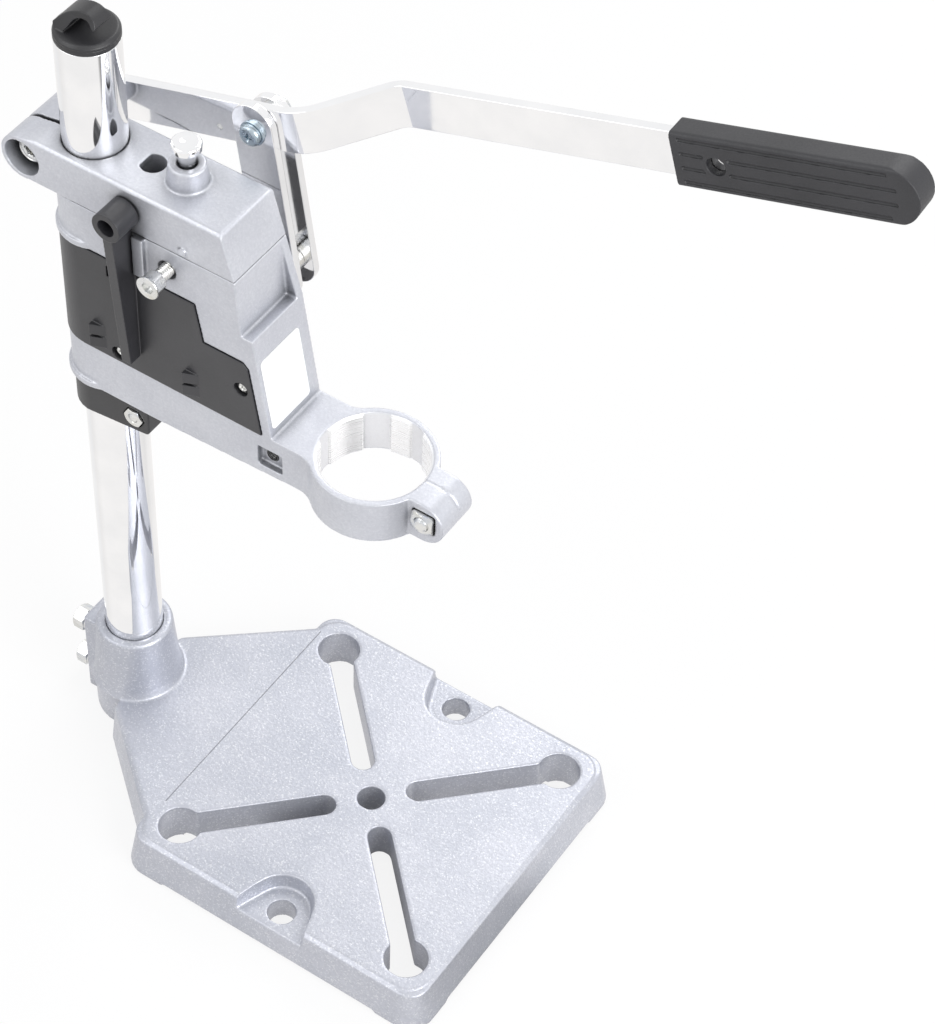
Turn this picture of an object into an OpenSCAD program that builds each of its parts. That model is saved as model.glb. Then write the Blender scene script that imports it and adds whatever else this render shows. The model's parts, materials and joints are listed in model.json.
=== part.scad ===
// Drill stand with a lever-fed carriage on a round column and a cast base with a clamping table.
// The origin lies on the spindle axis at the table's underside. +X points from the column to the
// spindle, +Y to the side of the lever, +Z up the column.

/* [Overall] */
// Distance from the column axis to the spindle axis
reach = 126; // [120:1:140]
// Outer diameter of the column tube
column_d = 25; // [24:0.5:26]
// Wall of the column tube
column_wall = 2; // [1.5:0.1:4]
// Length of the column tube
column_len = 379.5; // [370:0.5:420]
// Height of the carriage's underside over the ground
carriage_z = 215.5; // [195:0.5:230]
// Stroke of the carriage
stroke = 60; // [50:1:64]

/* [Base] */
// Side of the square table at the ground
base_w = 155; // [148:1:170]
// Height of the table
base_h = 20.5; // [19:0.5:26]
// Inward lean of the table's sides over their height
base_draft = 3.4; // [2:0.1:5]
// Radius of the table's corners
base_corner_r = 12; // [8:0.5:16]
// Thickness of the table's top and walls
base_wall = 4.2; // [3.5:0.1:6]
// Height of the feet under the table
foot_h = 1.2; // [0.8:0.1:2]
// Width of the four clamping slots
slot_w = 10.2; // [8:0.1:12]
// Distance from the spindle axis to the inner end of a slot
slot_start = 15.4; // [13:0.1:18]
// Distance from the table's sides to the centre of a slot's wide end
key_in = 19.1; // [18:0.1:22]
// Radius of a slot's wide end
key_r = 9.2; // [8:0.1:10.5]
// Radius of the hole on the spindle axis
centre_r = 6; // [4:0.5:8]
// Distance from the table's side to each bench hole
bench_in = 12.1; // [11:0.1:14]
// Radius of the bench holes
bench_r = 6; // [4:0.5:7]
// Height of the bench notches' floor
notch_z = 13.2; // [11:0.1:15]
// Height of the socket over the table
socket_rise = 33.2; // [28:0.1:40]
// Wall of the socket at its rim
socket_wall = 4.3; // [3.5:0.1:6]

/* [Carriage] */
// Width of the arm and of the castings on the column
arm_w = 32; // [31:0.5:36]
// Height of the arm
arm_h = 23.5; // [22:0.5:26]
// Height of the side covers
cover_h = 53; // [50:0.5:58]
// Height of the carriage's upper block
crown_h = 21.2; // [19:0.1:26]
// Distance from the spindle axis to the foot of the label face
web_front = 36.5; // [34:0.5:40]
// Lean of the label face
label_lean = 8.9; // [6:0.1:11]
// Lean of the front above the ledge
brow_lean = 15.5; // [12:0.1:18]
// Height of the ledge over the arm
ledge_rise = 48; // [45:0.5:52]
// Wall of the carriage casting
web_wall = 4; // [3:0.1:5]
// Thickness of the side covers
cover_t = 1.6; // [1.2:0.1:2.5]

/* [Collar] */
// Bore of the collar, the common neck of hand drills
collar_d = 43; // [38:0.5:44]
// Wall of the collar
collar_wall = 3.6; // [3:0.1:5]
// Height of the collar
collar_h = 20.3; // [17:0.1:22]
// Radius of the collar's clamping lug
lug_r = 9.8; // [9:0.1:11]
// Distance from the spindle axis to the lug's axis
lug_x = 28.6; // [28:0.1:32]
// Width of the collar's slit
slit_w = 1; // [0.8:0.1:3]

/* [Head] */
// Height of the head casting
head_h = 20.5; // [20:0.5:24]
// Distance from the column axis to the lever's pivot
pivot_back = 23; // [22.8:0.1:26]
// Height of the pivot over the head's underside
pivot_rise = 9.4; // [9.2:0.1:11]
// Outer radius of the pivot barrel
barrel_r = 9.8; // [9.4:0.1:10.5]
// Width of the head's clamping slit
head_slit = 1.6; // [1:0.1:4]

/* [Lever and link] */
// Distance from the pivot to the link's upper bolt
crank = 80.2; // [78:0.1:84]
// Rise of the lever at rest
lever_rise = 16.6; // [12:0.1:18]
// Height of the lever strap
strap_h = 18; // [17:0.1:19]
// Thickness of the lever strap
strap_t = 4; // [3:0.1:5]
// Side of the lever strap next to the head
strap_y = 28.4; // [27:0.1:31]
// Distance from the link's upper bolt to the first bend of the strap
bend_past = 19.3; // [18:0.1:24]
// Length of the strap between its bends
bend_run = 26; // [24:0.5:32]
// Sideways step of the strap between its bends
strap_step = 27.5; // [24:0.5:30]
// Splay of the strap's outer stretch
splay = 1.8; // [0:0.1:4]
// Length of the strap from its second bend to the grip
strap_out = 117; // [105:0.5:125]
// Length of the grip
grip_len = 94; // [80:1:110]
// Height of the grip
grip_h = 22.4; // [20.5:0.1:24]
// Thickness of the grip
grip_t = 11; // [10:0.1:13]
// Length of the link between its bolts
link_len = 66.5; // [62:0.5:68]
// Lean of the link at rest
link_lean = 8.3; // [6:0.1:10]
// Width of the link plates
link_w = 18.3; // [17:0.1:19]
// Thickness of the link plates
link_t = 3.5; // [2.5:0.1:4]

/* [Depth stop and spring] */
// Distance from the column axis to the depth rod
rod_ahead = 42; // [40:0.5:44]
// Diameter of the depth rod
rod_d = 7; // [6:0.1:8]
// Space between the rod's knob and the boss at rest
rod_gap = 5.2; // [5.1:0.1:9]
// Distance from the column axis to the return spring
spring_ahead = 26; // [25.5:0.1:27]
// Outer diameter of the return spring
spring_d = 9; // [8:0.1:9.5]
// Wire of the return spring
wire_d = 1.2; // [1:0.1:1.4]
// Number of the return spring's curls
curls = 22; // [16:1:24]

/* [Hidden] */
$fn = 64;

// Clearances and the overrun of every cut
run = 0.05;
seat = 0.2;
over = 1;
bevel = 1.2;

// Colours
cast_color = [0.78, 0.80, 0.84];
chrome_color = [0.86, 0.87, 0.88];
zinc_color = [0.72, 0.73, 0.74];
plastic_color = [0.20, 0.20, 0.22];
label_color = [0.96, 0.96, 0.96];

// Column, socket and table
col_x = -reach;
col_r = column_d / 2;
col_foot = 3;
foot_hole_r = 9;
socket_top = base_h + socket_rise;
socket_rim_r = col_r + socket_wall;
socket_spread = 2.2;
socket_foot_r = socket_rim_r + socket_spread;
socket_flare = 2;
pad_proud = 3.5;
pad_reach = socket_foot_r + pad_proud;
pad_w = 17;
pad_drop = 7;
bolt_low_z = 9.6;
bolt_drop = 19.8;
bolt_high_z = socket_top - bolt_drop;
set_bolt_r = 3;
set_bolt_af = 10;
set_bolt_head = 6.5;
set_bolt_neck = 3;
tail_front_in = 24.5;
tail_front = base_w / 2 - tail_front_in;
tail_rear_y = 24;
tail_rear_back = 5.5;
tail_side_in = 11.5;
tail_side_y = base_w / 2 - tail_side_in;
lip_in = 1.7;
lip_h = 0.8;
rib_t = 2.6;
rib_pitch_x = 38;
rib_pitch_y = 31;
notch_r = 12.4;
notch_slope = 1.6;
notch_mouth = 18;
seam_in = 0.6;
seam_back = 0.6;
seam_side_in = 23.5;
seam_half = base_w / 2 - seam_side_in;
keep = 3.4;
centre_wall = 4;
centre_boss_r = centre_r + centre_wall;
slot_reach = (base_w / 2 - key_in) * sqrt(2);
bench_y = base_w / 2 - bench_in;

// Heights on the column
arm_top = carriage_z + arm_h;
ledge_z = arm_top + ledge_rise;
cover_top = arm_top + cover_h;
crown_top = cover_top + crown_h;
head_z = crown_top + seat;
head_top = head_z + head_h;
arm_y = arm_w / 2;
lap = 2;
rebate = 1.1;

// The front of the carriage and of the head leans back in two steps
function front_x(z) =
    z < ledge_z
        ? -web_front - (z - arm_top) * tan(label_lean)
        : front_x(ledge_z - over / 1000) - (z - ledge_z) * tan(brow_lean);

// Side cover, with its step under the upper block
cover_margin = 4.4;
cover_step_back = 25;
cover_step_rise = 34.7;
cover_step_z = arm_top + cover_step_rise;
cover_nose = 2.2;
cover_r = arm_y + cover_t - rebate;
fin_ahead = 26.2;
fin_x = col_x + fin_ahead;
fin_boss_r = 6.3;
fin_hole_r = 3.7;
fin_boss_rise = 10.2;
fin_boss_z = head_z + fin_boss_rise;
fin_reach = 12;
fin_t = 4.4;
fin_tip_rise = 9.8;
fin_tip_z = arm_top + fin_tip_rise;
fin_tip_reach = 6;
fin_root = 1.2;
fin_back = 0.5;
clip_w = 6.4;
clip_h = 5.2;
clip_pitch = 6.6;
clip_barb = 2.6;
clip_rear_ahead = 8.6;
clip_front_ahead = 53.2;
clip_rise = 12.8;
clip_z = arm_top + clip_rise;
screw_r = 1.4;
screw_len = 10;
screw_head_r = 2.3;
screw_head_h = 1.2;
screw_well_r = 3.2;
screw_well = 2.3;
screw_boss_r = 4;
screw_boss_deep = 1.6;
screw_post_r = 3.2;
screw_rear_ahead = 17.4;
screw_rear_rise = 4.3;
screw_front_back = 13.3;
screw_front_rise = 20;
screw_rear = [col_x + screw_rear_ahead, arm_top + screw_rear_rise];
screw_front = [front_x(arm_top) - screw_front_back, arm_top + screw_front_rise];
vent_w = 2.4;
vent_h = 5.6;
vent_ahead = 15.6;
vent_drop = 6;
vent_at = [col_x + vent_ahead, cover_top - vent_drop];

// Carriage casting
bush_wall = 1.6;
bush_r = col_r + bush_wall;
pocket_deep = 5;
rib_in = 3.6;
rib_y = arm_y - rib_in;
bead_proud = 1.4;
bead_h = 3;
side_pad = [5.2, 2.2, 19.4];
side_pad_ahead = 28.9;
side_pad_x = col_x + side_pad_ahead;
link_boss_r = 8;
core_wall = 4;
core_roof = 6;
recess_back = 18;
recess_rise = 6.4;
recess_size = [11.4, 10.2];
recess_deep = 3.2;
recess_hole_r = 2.6;
recess_hole_ahead = 4.8;
recess_hole_rise = 4.4;
blend_r = 12;

// Collar and its clamp
collar_r = collar_d / 2;
collar_out = collar_r + collar_wall;
recess_at = [-collar_out - recess_back, carriage_z + recess_rise];
recess_hole_at = recess_at + [recess_hole_ahead, recess_hole_rise];
relief = 0.9;
relief_turns = [77, 122, 185];
relief_half_turns = [9, 14, 9];
lug_near = -10.4;
lug_far = 9.6;
slit_y = 1.1;
lug_z = arm_top - lug_r;
clamp_ahead = 0.9;
clamp_rise = 1.2;
clamp_x = lug_x + clamp_ahead;
clamp_z = lug_z + clamp_rise;
clamp_r = 3;
clamp_nut_w = 9.6;
clamp_nut_t = 4.6;
clamp_nut_well = 3;
clamp_head_r = 4.6;
clamp_head_h = 4.4;
clamp_well = 2.2;
hex_key = 4.6;
hex_deep = 2.6;

// Guide ring under the carriage
ring_front = 29;
ring_front_h = 13.4;
ring_rear_h = 18.4;
ring_corner_r = 2.4;
ring_in = 0.6;
ring_sleeve = 12;
ring_slit = 1.6;
ring_screw_ahead = 21.6;
ring_screw_drop = 6.8;
ring_screw_x = col_x + ring_screw_ahead;
ring_screw_z = carriage_z - ring_screw_drop;
ring_screw_r = 2;
ring_nut_af = 8;
ring_nut_t = 2.4;
ring_well = 1.6;
ring_head_r = 3.6;
ring_head_h = 2;

// Lever pivot
pivot = [col_x - pivot_back, head_z + pivot_rise];
barrel_near = -arm_y;
head_slit_y = -1.5;
barrel_far = strap_y - seat;
pivot_bolt_r = 4;
pivot_head_r = 5.4;
pivot_head_h = 5;
pivot_well_r = 8;
pivot_well = 10;
pivot_nut_af = 13;
pivot_nut_t = 6;
pivot_washer_r = 8;
pivot_washer_t = 1.4;
nub_r = 1.8;
nub_proud = 1.2;
nub_ahead = 51.7;
nub_rise = 3.4;
nub_at = [col_x + nub_ahead, head_z + nub_rise];

// Link
link_bolt_r = 3;
link_tail = 2.8;
outer_tail = -0.6;
link_head_r = 5.2;
link_head_h = 3.4;
link_nut_af = 9;
link_nut_t = 4;
face_gap = 0.1;
link_washer_t = 3;
inner_y = strap_y - face_gap - link_t;
outer_y = strap_y + strap_t + face_gap + link_washer_t;
link_top = [pivot[0] + crank * cos(lever_rise), pivot[1] + crank * sin(lever_rise)];
link_foot = [link_top[0] + link_len * sin(link_lean), link_top[1] - link_len * cos(link_lean)];
spacer_r = 5.4;
cross_w = 1.1;
cross_len = 5.4;
small_cross_share = 0.55;
cross_deep = 1.5;

// Grip
grip_edge_r = 1.8;
grip_groove_w = 1.5;
grip_groove_deep = 0.9;
grip_grooves = 4;
grip_groove_inset = 3;
grip_groove_end = 7;
groove_spread_share = 0.92;
grip_pad_r = 5.6;
grip_hole_r = 3.7;
grip_hole_at = 17;
tang_short = 14;
tang_len = grip_len - tang_short;
bend_r = 18;
elbow_r = 9;
bend_at = crank + bend_past;
elbow_at = bend_at + bend_run;
grip_at = elbow_at + strap_out;

// Depth rod and its lock
rod_x = col_x + rod_ahead;
rod_y = 1;
rod_r = rod_d / 2;
rod_boss_r = 7.8;
rod_boss_h = 9;
rod_boss_draft = 0.5;
rod_boss_edge = 0.7;
rod_knob_r = 5.9;
rod_knob_h = 3.1;
rod_knob_under = 1.4;
rod_knob_round = 1.3;
rod_drop = 13.5;
rod_foot = crown_top - stroke - rod_drop;
rod_well = 9;
lock_ahead = 1.5;
lock_drop = 10.6;
lock_x = rod_x + lock_ahead;
lock_z = crown_top - lock_drop;
lock_r = 3;
lock_head_r = 5;
lock_head_h = 6.5;
lock_neck = 5.5;
lock_well_r = 4;
lock_well = 1;

// Return spring
spring_x = col_x + spring_ahead;
spring_y = 1;
spring_play = 0.6;
spring_r = spring_d / 2 - wire_d / 2;
spring_hole_r = spring_d / 2 + spring_play;
spring_pin_r = 1.2;
pin_low_drop = 1.2;
pin_high_rise = 9;
pin_low_z = arm_top - pin_low_drop;
pin_high_z = head_z + pin_high_rise;
spring_tail = 5;
spring_lip_h = 3;
spring_lip_ahead = 3.6;

// Shapes that repeat

// A flat shape in X and Z, extruded from y0 to y1
module side_slab(points, y0, y1) {
    translate([0, y1, 0]) rotate([90, 0, 0]) linear_extrude(y1 - y0) polygon(points);
}

// A round bar or hole along Y through a point in X and Z
module y_bar(at, r, y0, y1) {
    translate([at[0], y1, at[1]]) rotate([90, 0, 0]) cylinder(r = r, h = y1 - y0);
}

// A hexagonal bar along Y
module y_hex(at, af, y0, y1) {
    translate([at[0], y1, at[1]]) rotate([90, 0, 0])
        cylinder(d = af / cos(30), h = y1 - y0, $fn = 6);
}

// A cross-shaped driver recess in a face that looks to -Y or +Y
module cross_recess(at, y0, y1, share = 1) {
    for (turn = [45, 135])
        translate([at[0], 0, at[1]]) rotate([0, turn, 0])
            translate([-cross_len * share / 2, y0, -cross_w * share / 2])
                cube([cross_len * share, y1 - y0, cross_w * share]);
}

// A square with round corners, centred
module round_square(half, r) {
    square([2 * half, 2 * (half - r)], center = true);
    square([2 * (half - r), 2 * half], center = true);
    for (sx = [-1, 1], sy = [-1, 1]) translate([sx * (half - r), sy * (half - r)]) circle(r);
}

// The tapering tail that joins the table to the socket
function tail_points(grow) = [
    [-tail_front, -tail_side_y - grow], [-base_w / 2 + base_draft * 2, -tail_side_y - grow],
    [col_x + tail_rear_back, -tail_rear_y - grow], [col_x + tail_rear_back, tail_rear_y + grow],
    [-base_w / 2 + base_draft * 2, tail_side_y + grow], [-tail_front, tail_side_y + grow]
];

// One clamping slot in plan, along +X
module slot_plan(grow) {
    inner = slot_start + slot_w / 2;
    translate([inner, 0]) circle(slot_w / 2 + grow);
    translate([inner, -slot_w / 2 - grow]) square([slot_reach - inner, slot_w + 2 * grow]);
    translate([slot_reach, 0]) circle(key_r + grow);
}

module slots_plan(grow) {
    for (turn = [45:90:315]) rotate(turn) slot_plan(grow);
}

module socket_body() {
    translate([col_x, 0, 0]) rotate_extrude() polygon([
        [foot_hole_r, 0], [socket_foot_r, 0], [socket_foot_r, base_h - over],
        [socket_foot_r + socket_flare, base_h - over], [socket_foot_r + socket_flare / 2, base_h + socket_flare / 2],
        [socket_foot_r, base_h + socket_flare * 2], [socket_rim_r, socket_top - bevel],
        [socket_rim_r - bevel, socket_top], [foot_hole_r, socket_top]
    ]);
}

// The rear pad that holds the two set bolts
module socket_pad() {
    pad_top = socket_top - pad_drop;
    translate([col_x - pad_reach, -pad_w / 2 + bevel, 0])
        cube([pad_reach - col_r, pad_w - 2 * bevel, pad_top]);
    translate([col_x - pad_reach + bevel, -pad_w / 2, 0])
        cube([pad_reach - col_r - bevel, pad_w, pad_top]);
    for (side = [-1, 1])
        translate([col_x - pad_reach + bevel, side * (pad_w / 2 - bevel), 0]) cylinder(r = bevel, h = pad_top);
}

module table_body() {
    top_half = base_w / 2 - base_draft;
    hull() for (sx = [-1, 1], sy = [-1, 1])
        translate([sx * (base_w / 2 - base_corner_r), sy * (base_w / 2 - base_corner_r), 0])
            cylinder(r1 = base_corner_r, r2 = base_corner_r - base_draft, h = base_h - lip_h, $fn = 32);
    translate([0, 0, base_h - 2 * lip_h]) linear_extrude(2 * lip_h) {
        round_square(top_half - lip_in, base_corner_r - lip_in);
        polygon(tail_points(-lip_in));
    }
    hull() {
        linear_extrude(lip_h) polygon(tail_points(base_draft));
        translate([0, 0, base_h - 2 * lip_h]) linear_extrude(lip_h) polygon(tail_points(0));
    }
}

// The table is open below, with walls round the slots, the holes and the socket
module table_hollow() {
    translate([0, 0, -over]) linear_extrude(base_h - base_wall + over) difference() {
        union() {
            round_square(base_w / 2 - base_draft - base_wall, base_corner_r - base_wall / 2);
            polygon(tail_points(-base_wall));
        }
        slots_plan(keep);
        circle(centre_boss_r);
        translate([col_x, 0]) circle(socket_foot_r);
        translate([col_x - pad_reach, -pad_w / 2]) square([pad_reach, pad_w]);
        for (side = [-1, 1]) {
            translate([0, side * bench_y]) circle(notch_r + keep + notch_slope);
            translate([-notch_mouth - keep, side > 0 ? bench_y : -base_w / 2])
                square([2 * (notch_mouth + keep), base_w / 2 - bench_y]);
        }
        for (k = [-2:1]) translate([k * rib_pitch_x - rib_t / 2, -base_w / 2]) square([rib_t, base_w]);
        for (k = [-1:1]) translate([col_x, k * rib_pitch_y - rib_t / 2]) square([base_w + reach, rib_t]);
    }
}

// The feet stay while the rest of the rim is cut back
module foot_relief() {
    span = base_w + reach;
    translate([0, 0, -over]) linear_extrude(foot_h + over) difference() {
        translate([-span, -base_w]) square([2 * span, 2 * base_w]);
        for (sx = [-1, 1], sy = [-1, 1])
            translate([sx * (base_w / 2 - base_corner_r), sy * (base_w / 2 - base_corner_r)])
                circle(base_corner_r + keep);
        translate([col_x, 0]) circle(pad_reach + keep);
        circle(centre_boss_r);
    }
}

module bench_notch(side) {
    translate([0, 0, notch_z]) hull() {
        translate([0, side * bench_y, 0])
            cylinder(r1 = notch_r, r2 = notch_r + notch_slope, h = base_h - notch_z + over, $fn = 32);
        for (sx = [-1, 1])
            translate([sx * (notch_mouth - over), side * (base_w / 2 + over), 0])
                cylinder(r = over, h = base_h - notch_z + over, $fn = 32);
    }
    translate([0, side * bench_y, -over]) cylinder(r = bench_r, h = base_h);
}

module base_plate() {
    color(cast_color) difference() {
        union() {
            table_body();
            socket_body();
            socket_pad();
        }
        table_hollow();
        foot_relief();
        translate([0, 0, -over]) linear_extrude(base_h + 2 * over) slots_plan(0);
        translate([0, 0, -over]) cylinder(r = centre_r, h = base_h + 2 * over);
        for (side = [-1, 1]) bench_notch(side);
        translate([-base_w / 2 + base_draft + seam_back, -seam_half, base_h - seam_in])
            cube([seam_in, 2 * seam_half, base_h]);
        translate([col_x, 0, -over]) cylinder(r = foot_hole_r, h = base_h);
        translate([col_x, 0, col_foot]) cylinder(r = col_r + run, h = socket_top);
        for (z = [bolt_low_z, bolt_high_z])
            translate([col_x, 0, z]) rotate([0, -90, 0]) cylinder(r = set_bolt_r + run, h = 2 * pad_reach);
    }
}

module socket_bolts() {
    color(zinc_color) for (z = [bolt_low_z, bolt_high_z]) {
        translate([col_x - col_r - seat, 0, z]) rotate([0, -90, 0])
            cylinder(r = set_bolt_r, h = pad_reach - col_r + set_bolt_neck);
        translate([col_x - pad_reach - set_bolt_neck, 0, z]) rotate([0, -90, 0])
            cylinder(d = set_bolt_af / cos(30), h = set_bolt_head, $fn = 6);
    }
}

module column_tube() {
    color(chrome_color) translate([col_x, 0, col_foot]) difference() {
        cylinder(r = col_r, h = column_len);
        translate([0, 0, -over]) cylinder(r = col_r - column_wall, h = column_len + 2 * over);
    }
}

// Column cap with a hook for the cable
cap_plug = 12;
cap_rim_h = 1.8;
cap_groove = 0.5;
cap_dish = 0.6;
cap_lip = 1.6;
hook_h = 9.4;
hook_root_w = 16;
hook_tip_w = 7.5;
hook_waist_w = 8.4;
hook_waist_share = 0.75;
// Side view of the hook: shares of the column's radius along X and of the hook's height
hook_shares = [
    [-0.9, -0.14], [-0.9, 0.02], [-0.76, 0.24], [-0.58, 0.52], [-0.4, 0.71], [-0.16, 0.88], [0.08, 0.99],
    [0.32, 1], [0.53, 0.84], [0.64, 0.62], [0.64, 0.47], [0.54, 0.46], [0.45, 0.63], [0.29, 0.73],
    [0.08, 0.71], [-0.1, 0.58], [-0.21, 0.37], [-0.29, 0.13], [-0.4, -0.02], [-0.4, -0.14]
];

function arc(centre, r, a0, a1, steps) =
    [for (i = [0:steps]) let (a = a0 + (a1 - a0) * i / steps) centre + r * [cos(a), sin(a)]];

// Cuts each corner of an outline at a quarter of its sides
function softened(points) = [
    for (i = [0:len(points) - 1]) let (a = points[i], b = points[(i + 1) % len(points)])
        each [a + (b - a) / 4, b - (b - a) / 4]
];

module column_cap() {
    z0 = col_foot + column_len;
    z1 = z0 + cap_rim_h;
    z2 = z1 + cap_groove + cap_rim_h;
    plug_r = col_r - column_wall - run;
    hook = [for (share = hook_shares) [col_x + share[0] * col_r, z2 + share[1] * hook_h]];
    color(plastic_color) {
        translate([col_x, 0, 0]) rotate_extrude() polygon([
            [0, z0 - cap_plug], [plug_r, z0 - cap_plug], [plug_r, z0], [col_r, z0], [col_r, z1],
            [col_r - cap_groove, z1], [col_r - cap_groove, z1 + cap_groove], [col_r, z1 + cap_groove],
            [col_r, z2 - bevel], [col_r - bevel, z2], [col_r - bevel - cap_lip, z2], [0, z2 - cap_dish]
        ]);
        intersection() {
            side_slab(softened(softened(hook)), -hook_root_w / 2, hook_root_w / 2);
            translate([col_x - col_r, 0, z2]) rotate([90, 0, 90]) linear_extrude(column_d) polygon([
                [-hook_root_w / 2, -hook_h / 2], [hook_root_w / 2, -hook_h / 2], [hook_root_w / 2, 0],
                [hook_waist_w / 2, hook_h * hook_waist_share], [hook_tip_w / 2, hook_h], [-hook_tip_w / 2, hook_h],
                [-hook_waist_w / 2, hook_h * hook_waist_share], [-hook_root_w / 2, 0]
            ]);
            translate([col_x, 0, z1]) cylinder(r = col_r - bevel / 2, h = 2 * hook_h);
        }
    }
}

// A casting block with bevelled long edges, between two heights
module bevelled_run(z0, z1, edge) {
    translate([pivot[0] - barrel_r, 0, 0]) rotate([90, 0, 90]) linear_extrude(reach) polygon([
        [-arm_y, z0], [arm_y, z0], [arm_y, z1 - edge], [arm_y - edge, z1], [-arm_y + edge, z1], [-arm_y, z1 - edge]
    ]);
}

module bevelled_ring(z0, z1, edge) {
    translate([col_x, 0, 0]) rotate_extrude()
        polygon([[0, z0], [arm_y, z0], [arm_y, z1 - edge], [arm_y - edge, z1], [0, z1]]);
}

module head_casting() {
    color(cast_color) difference() {
        union() {
            intersection() {
                bevelled_run(head_z, head_top, bevel);
                side_slab([
                    [pivot[0], head_z], [front_x(head_z), head_z], [front_x(head_top - bevel), head_top - bevel],
                    [front_x(head_top) - bevel / 2, head_top], [col_x - arm_y, head_top],
                    [pivot[0], pivot[1] + barrel_r]
                ], -arm_w, arm_w);
            }
            y_bar(pivot, barrel_r, barrel_near, barrel_far);
            translate([rod_x, rod_y, 0]) rotate_extrude() polygon([
                [0, head_top - over], [rod_boss_r + rod_boss_draft, head_top - over],
                [rod_boss_r - rod_boss_draft, head_top + rod_boss_h - rod_boss_edge],
                [rod_boss_r - rod_boss_draft - rod_boss_edge, head_top + rod_boss_h], [0, head_top + rod_boss_h]
            ]);
            y_bar(nub_at, nub_r, -arm_y - nub_proud, 0);
        }
        translate([col_x, 0, head_z - barrel_r]) cylinder(r = col_r + run, h = head_h + 2 * barrel_r);
        translate([col_x - 2 * barrel_r - pivot_back, head_slit_y - head_slit / 2, head_z - barrel_r])
            cube([pivot_back + 2 * barrel_r, head_slit, head_h + 2 * barrel_r]);
        y_bar(pivot, pivot_bolt_r + run, barrel_near - over, barrel_far + over);
        y_bar(pivot, pivot_well_r, barrel_near - over, barrel_near + pivot_well);
        translate([rod_x, rod_y, head_z - over]) cylinder(r = rod_r + run, h = head_h + rod_boss_h + 2 * over);
        translate([rod_x, rod_y, head_top + rod_boss_h - rod_boss_edge])
            cylinder(r1 = rod_r + run, r2 = rod_r + run + 2 * rod_boss_edge, h = 2 * rod_boss_edge);
        translate([spring_x, spring_y, head_z - over]) difference() {
            cylinder(r = spring_hole_r, h = head_h + 2 * over);
            translate([-spring_lip_ahead - spring_hole_r, -spring_hole_r, head_h + over - spring_lip_h])
                cube([spring_hole_r, 2 * spring_hole_r, head_h]);
        }
        y_bar([spring_x, pin_high_z], spring_pin_r + run, -arm_y + core_wall, arm_y + over);
    }
}

module pivot_bolt() {
    head_y = barrel_near + pivot_well - pivot_head_h;
    color(zinc_color) difference() {
        union() {
            y_bar(pivot, pivot_head_r, head_y, head_y + pivot_head_h);
            y_bar(pivot, pivot_bolt_r, head_y + pivot_head_h - over,
                strap_y + strap_t + face_gap + pivot_washer_t + pivot_nut_t + over);
        }
        y_hex(pivot, 2 * hex_deep + over, head_y - over, head_y + hex_deep);
    }
}

washer_y = strap_y + strap_t + face_gap;

module pivot_washer() {
    color(zinc_color) difference() {
        y_bar(pivot, pivot_washer_r, washer_y, washer_y + pivot_washer_t);
        y_bar(pivot, pivot_bolt_r + run, washer_y - over, washer_y + pivot_washer_t + over);
    }
}

module pivot_nut() {
    y0 = washer_y + pivot_washer_t;
    color(zinc_color) difference() {
        y_hex(pivot, pivot_nut_af, y0, y0 + pivot_nut_t);
        y_bar(pivot, pivot_bolt_r + run, y0 - over, y0 + pivot_nut_t + over);
    }
}

module spring_pin_upper() {
    color(zinc_color) y_bar([spring_x, pin_high_z], spring_pin_r, -arm_y + core_wall + seat, arm_y - seat);
}

module spring_pin_lower() {
    color(zinc_color) y_bar([spring_x, pin_low_z], spring_pin_r, -arm_y + core_wall + seat, arm_y - rebate - seat);
}

// The spring's wire: a straight tail, the curls, and a straight tail, on one unbroken line
curl_steps = 8;
wire_sides = 6;
spring_z0 = pin_low_z + spring_pin_r + seat;
spring_z1 = pin_high_z - spring_pin_r - seat;
coil_z0 = spring_z0 + spring_tail;
coil_z1 = spring_z1 - spring_tail;
curl_pitch = (coil_z1 - coil_z0) / curls;

function wire_at(i) =
    let (turn = i / curl_steps, inward = min(1, min(turn, curls - turn) * 2))
    [
        spring_x + spring_r * inward * cos(turn * 360),
        spring_y + spring_r * inward * sin(turn * 360),
        coil_z0 + turn * curl_pitch
    ];
wire_path = concat(
    [[spring_x, spring_y, spring_z0]],
    [for (i = [0:curls * curl_steps]) wire_at(i)],
    [[spring_x, spring_y, spring_z1]]
);
function unit(v) = v / norm(v);
function wire_ring(i) =
    let (
        last = len(wire_path) - 1,
        along = unit(wire_path[min(i + 1, last)] - wire_path[max(i - 1, 0)]),
        turn = (i - 1) * 360 / curl_steps,
        out = unit(cross(along, cross([cos(turn), sin(turn), 0], along))),
        side = cross(along, out)
    )
    [for (k = [0:wire_sides - 1]) let (a = k * 360 / wire_sides)
        wire_path[i] + wire_d / 2 * (cos(a) * out + sin(a) * side)];
echo("least gap between curls", curl_pitch - wire_d);

module return_spring() {
    rings = len(wire_path);
    points = [for (i = [0:rings - 1]) each wire_ring(i)];
    sides = [for (i = [0:rings - 2], k = [0:wire_sides - 1])
        let (a = i * wire_sides + k, b = i * wire_sides + (k + 1) % wire_sides)
        each [[a, a + wire_sides, b], [b, a + wire_sides, b + wire_sides]]];
    first = [for (k = [0:wire_sides - 1]) k];
    last = [for (k = [wire_sides - 1:-1:0]) (rings - 1) * wire_sides + k];
    color(zinc_color) polyhedron(points = points, faces = concat([first], sides, [last]));
}

// Outline of a side cover in X and Z, grown by a gap
function cover_points(grow) = [
    [col_x, arm_top - grow], [front_x(arm_top) - cover_margin + grow, arm_top - grow],
    [front_x(cover_step_z) - cover_margin + grow, cover_step_z - cover_nose],
    [front_x(cover_step_z) - cover_margin - cover_nose, cover_step_z + grow],
    [front_x(cover_step_z) - cover_step_back + grow, cover_step_z + grow],
    [front_x(cover_top) - cover_step_back + grow, cover_top + grow], [col_x, cover_top + grow]
];

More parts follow.
